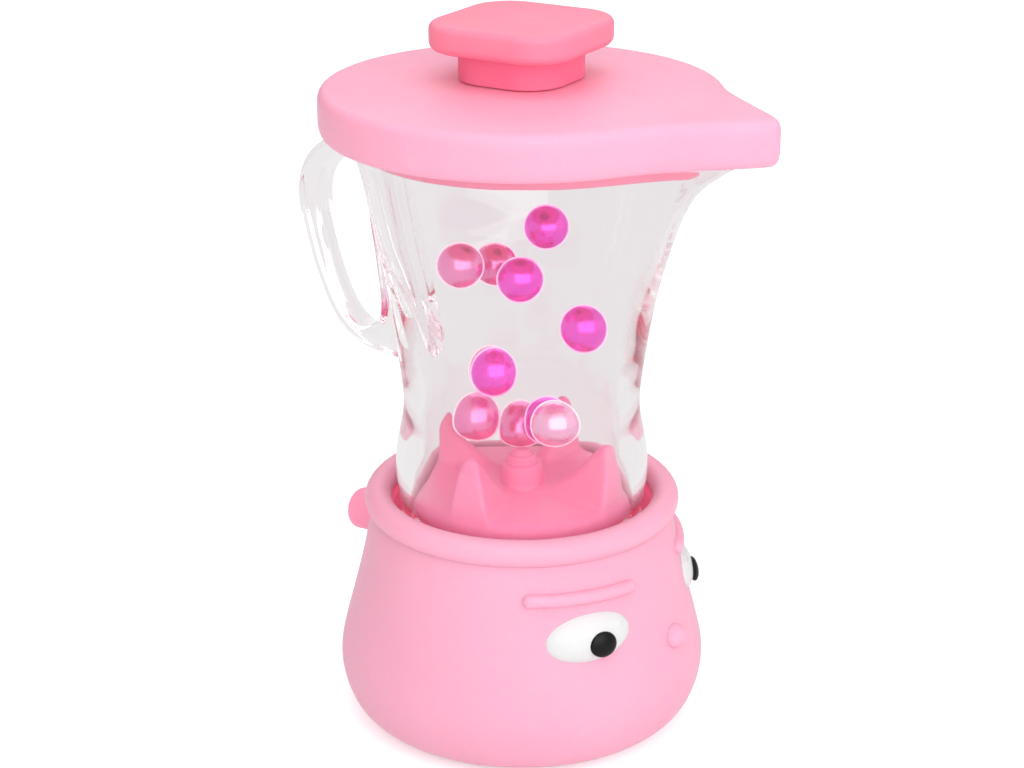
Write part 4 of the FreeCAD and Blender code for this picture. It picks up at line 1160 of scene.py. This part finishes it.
NH, NC = 18.8, 13.6
loops = []
for s in (0.3, 0.6, 0.95):
    loops.append(with_z(squircle(NH, NC, 0.2) * s, 237.2))
loops.append(with_z(squircle(NH, NC, 0.0), 237.1))
for z in (235.5, 234.0, 232.5, 231.0, 229.5):
    loops.append(with_z(squircle(NH, NC, 0.0), z))
for k in range(6):
    q = math.pi / 2 * k / 5
    loops.append(with_z(squircle(NH, NC, 0.5 * (1 - math.cos(q))), 227.9 - 0.5 * math.sin(q)))
sq = squircle(NH, NC, 1.6)
dirs = sq / np.linalg.norm(sq, axis=1)[:, None]
loops.append(with_z(dirs * 17.0, 227.4))
for z in (226.0, 222.0, 216.0, 210.0):
    loops.append(with_z(dirs * 17.0, z))
loops.append(with_z(dirs * 17.0, 208.4))
loops.append(with_z(dirs * 16.6, 208.0))
loops.append(with_z(dirs * 14.9, 208.0))
for z in (208.4, 215.0, 222.0, 229.0, 235.6):
    loops.append(with_z(dirs * 14.5, z))
loops.append(with_z(dirs * 14.0, 236.0))
loops.append(with_z(dirs * 7.0, 236.0))
v, f = rings(loops, False, (0, 0, 237.2), (0, 0, 236.0))
neck = new_object("cap_neck_visual", v, f, 40)
place(neck, "neck", "cap", "neck_pink", "cap_neck")

# ---------------------------------------------------------------------------
# pearls: a faint mould line and a gate mark on each
# ---------------------------------------------------------------------------
PEARLS = [
    (19.8, 1.6, 171.1, "magenta"), (-20.5, 11.5, 166.8, "dusty"), (2.4, 11.9, 160.5, "rose"),
    (-10.6, -5.6, 161.8, "magenta"), (-1.9, -24.7, 145.1, "magenta"), (-13.4, 3.1, 128.3, "magenta"),
    (5.6, 16.4, 119.3, "rose"), (-12.8, 10.2, 111.3, "rose"), (10.6, 6.6, 100.7, "rose"),
    (-13.7, -20.2, 115.1, "pale"), (0.1, -10.1, 109.4, "violet"),
]
rng = np.random.RandomState(7)
for k, (px, py, pz, tone) in enumerate(PEARLS):
    bm = bmesh.new()
    bmesh.ops.create_icosphere(bm, subdivisions=5, radius=1.0)
    ax = Vector(rng.normal(size=3)).normalized()
    gate = ax.orthogonal().normalized()
    for vert in bm.verts:
        d = vert.co.normalized()
        r = 8.0
        r -= 0.02 * (1 + math.sin(3.1 * d.x + k) * math.cos(2.3 * d.y - k))      # not quite round
        r += 0.018 * math.exp(-(d.dot(ax) / 0.012) ** 2)                          # mould line
        g = (d - gate).length / 0.09
        r -= 0.07 * math.exp(-g ** 4)                                             # gate mark
        vert.co = Vector((px, py, pz)) * MM + d * (min(r, 8.0) * MM)
    me = bpy.data.meshes.new("pearl_%02d_visual" % (k + 1))
    bm.to_mesh(me)
    bm.free()
    ob = bpy.data.objects.new("pearl_%02d_visual" % (k + 1), me)
    scene.collection.objects.link(ob)
    tidy(ob, 80)
    place(ob, tone, "pearl_%02d" % (k + 1), "pearl_" + tone, "pearl_%02d" % (k + 1))

# ---------------------------------------------------------------------------
# floor, light, camera
# ---------------------------------------------------------------------------
loops = []
n = 96
for r in (150.0, 300.0, 500.0, 800.0, 1200.0, 1700.0):
    loops.append([(r * math.cos(2 * math.pi * i / n), r * math.sin(2 * math.pi * i / n), 0.0) for i in range(n)])
v, f = rings(loops, False, (0, 0, 0), None)
me = bpy.data.meshes.new("floor")
me.from_pydata([(x * MM, y * MM, z * MM) for x, y, z in v], [], f)
floor = bpy.data.objects.new("floor", me)
scene.collection.objects.link(floor)
fm = Mat("floor_white")
seen = fm.add("ShaderNodeLightPath")


def fm_calc(op, a, b):
    n_ = fm.add("ShaderNodeMath", operation=op)
    for sock, v_ in zip(n_.inputs, (a, b)):
        if hasattr(v_, "is_output"):
            fm.link(v_, sock)
        else:
            sock.default_value = v_
    return n_.outputs[0]


# seen through or in something clear, the floor is an even pale tone
even = fm_calc("MULTIPLY", fm_calc("LESS_THAN", seen.outputs["Diffuse Depth"], 0.5),
               fm_calc("SUBTRACT", 1.0, seen.outputs["Is Camera Ray"]))
tone = fm.ramp(fm.noise(3.0, 2.0, 0.5), [(0.3, (0.83, 0.83, 0.83, 1)), (0.7, (0.84, 0.84, 0.84, 1))])
fm.link(fm.mix(even, tone, (0.0, 0.0, 0.0, 1.0)), fm.b.inputs["Base Color"])
fm.link(fm.spread(fm.noise(12.0), 0.75, 0.85), fm.b.inputs["Roughness"])
fm.bump([(fm.noise(600.0), 0.02, 0.0001)])
fm.set(Specular_IOR_Level=0.0, Emission_Color=(1, 0.99, 0.993, 1))
fm.link(fm_calc("ADD", fm_calc("MULTIPLY", seen.outputs["Is Camera Ray"], 0.45), fm_calc("MULTIPLY", even, 0.88)),
        fm.b.inputs["Emission Strength"])
floor.data.materials.append(fm.m)

world = bpy.data.worlds.new("studio")
scene.world = world
world.use_nodes = True
nt = world.node_tree
nt.nodes.clear()
wo = nt.nodes.new("ShaderNodeOutputWorld")
bg_cam = nt.nodes.new("ShaderNodeBackground")         # the plain backdrop
bg_cam.inputs[0].default_value = (1, 1, 1, 1)
bg_cam.inputs[1].default_value = 1.05
bg_thru = nt.nodes.new("ShaderNodeBackground")        # the same backdrop through the clear jar
bg_thru.inputs[0].default_value = (1, 0.995, 0.997, 1)
bg_thru.inputs[1].default_value = 0.9
bg = nt.nodes.new("ShaderNodeBackground")             # the studio's walls and ceiling, as light
tc = nt.nodes.new("ShaderNodeTexCoord")
sp = nt.nodes.new("ShaderNodeSeparateXYZ")
nt.links.new(tc.outputs["Generated"], sp.inputs[0])
mr = nt.nodes.new("ShaderNodeMapRange")
mr.inputs[1].default_value, mr.inputs[2].default_value = -1.0, 1.0
nt.links.new(sp.outputs["Z"], mr.inputs[0])
rp = nt.nodes.new("ShaderNodeValToRGB")
el = rp.color_ramp.elements
while len(el) < 4:
    el.new(0.5)
for e, (p, c) in zip(el, [(0.0, 0.24), (0.5, 0.26), (0.68, 0.42), (1.0, 0.82)]):
    e.position, e.color = p, (c, c * 0.985, c * 0.99, 1)
nt.links.new(mr.outputs[0], rp.inputs[0])
nt.links.new(rp.outputs[0], bg.inputs[0])
bg.inputs[1].default_value = 1.0
lp = nt.nodes.new("ShaderNodeLightPath")


def calc(op, a, b):
    n = nt.nodes.new("ShaderNodeMath")
    n.operation = op
    for sock, v in zip(n.inputs, (a, b)):
        if hasattr(v, "is_output"):
            nt.links.new(v, sock)
        else:
            sock.default_value = v
    return n.outputs[0]


# rays that went through the jar's wall, or along inside it, see the backdrop
no_diffuse = calc("LESS_THAN", lp.outputs["Diffuse Depth"], 0.5)
no_gloss = calc("LESS_THAN", lp.outputs["Glossy Depth"], 0.5)
in_wall = calc("GREATER_THAN", lp.outputs["Transmission Depth"], 0.5)
through = calc("MULTIPLY", no_diffuse, calc("MAXIMUM", no_gloss, in_wall))
mx1 = nt.nodes.new("ShaderNodeMixShader")
nt.links.new(through, mx1.inputs[0])
nt.links.new(bg.outputs[0], mx1.inputs[1])
nt.links.new(bg_thru.outputs[0], mx1.inputs[2])
mx = nt.nodes.new("ShaderNodeMixShader")
nt.links.new(lp.outputs["Is Camera Ray"], mx.inputs[0])
nt.links.new(mx1.outputs[0], mx.inputs[1])
nt.links.new(bg_cam.outputs[0], mx.inputs[2])
nt.links.new(mx.outputs[0], wo.inputs[0])


def softbox(name, az, elev, dist, w, h, power, color=(1, 1, 1), aim=(0, 0, 0.12)):
    """az: 0 looks along +Y."""
    a, e = math.radians(az), math.radians(elev)
    aim = Vector(aim)
    pos = aim + Vector((math.sin(a) * math.cos(e), -math.cos(a) * math.cos(e), math.sin(e))) * dist
    li = bpy.data.lights.new(name, "AREA")
    li.shape = "RECTANGLE"
    li.size, li.size_y = w, h
    li.energy = power
    li.color = color
    ob = bpy.data.objects.new(name, li)
    ob.location = pos
    ob.rotation_euler = (aim - pos).to_track_quat("-Z", "Y").to_euler()
    ob.visible_camera = False
    scene.collection.objects.link(ob)
    return ob


# the photo looks from azimuth -60
softbox("key", -60 + 14, 26, 1.25, 1.9, 1.2, 12.0)
softbox("top", -60 + 20, 82, 1.8, 1.8, 1.8, 9.5)
softbox("right", -60 + 80, 18, 1.6, 1.2, 1.2, 1.0)
softbox("back", -60 + 180, 38, 2.0, 1.6, 1.0, 4.5)

cam_data = bpy.data.cameras.new("camera")
cam = bpy.data.objects.new("camera", cam_data)
scene.collection.objects.link(cam)
cam_data.lens = 80.0
cam_data.sensor_width = 36.0
cam_data.sensor_fit = "HORIZONTAL"
cam_data.clip_start = 0.02
cam_data.dof.use_dof = False
p = 0.36474
psi = math.atan(9.7 / 2275.6)
c60, s60 = 0.5, math.sqrt(3) / 2
fwd = Vector((s60 * math.cos(p), c60 * math.cos(p), -math.sin(p)))
right = Vector((c60, -s60, 0.0))
up = Vector((s60 * math.sin(p), c60 * math.sin(p), math.cos(p)))
fwd, right = fwd * math.cos(psi) - right * math.sin(psi), right * math.cos(psi) + fwd * math.sin(psi)
mw = Matrix.Identity(4)
for i in range(3):
    mw[i][0], mw[i][1], mw[i][2] = right[i], up[i], -fwd[i]
mw.translation = Vector((-0.63083, -0.36421, 0.39827))
cam.matrix_world = mw
scene.camera = cam
bpy.context.scene.camera = cam

# light that runs along inside the jar's wall needs many steps to leave it
scene.cycles.max_bounces = 96
scene.cycles.transmission_bounces = 96
scene.cycles.glossy_bounces = 96
scene.cycles.diffuse_bounces = 6
scene.view_settings.view_transform = "Standard"
scene.view_settings.look = "None"
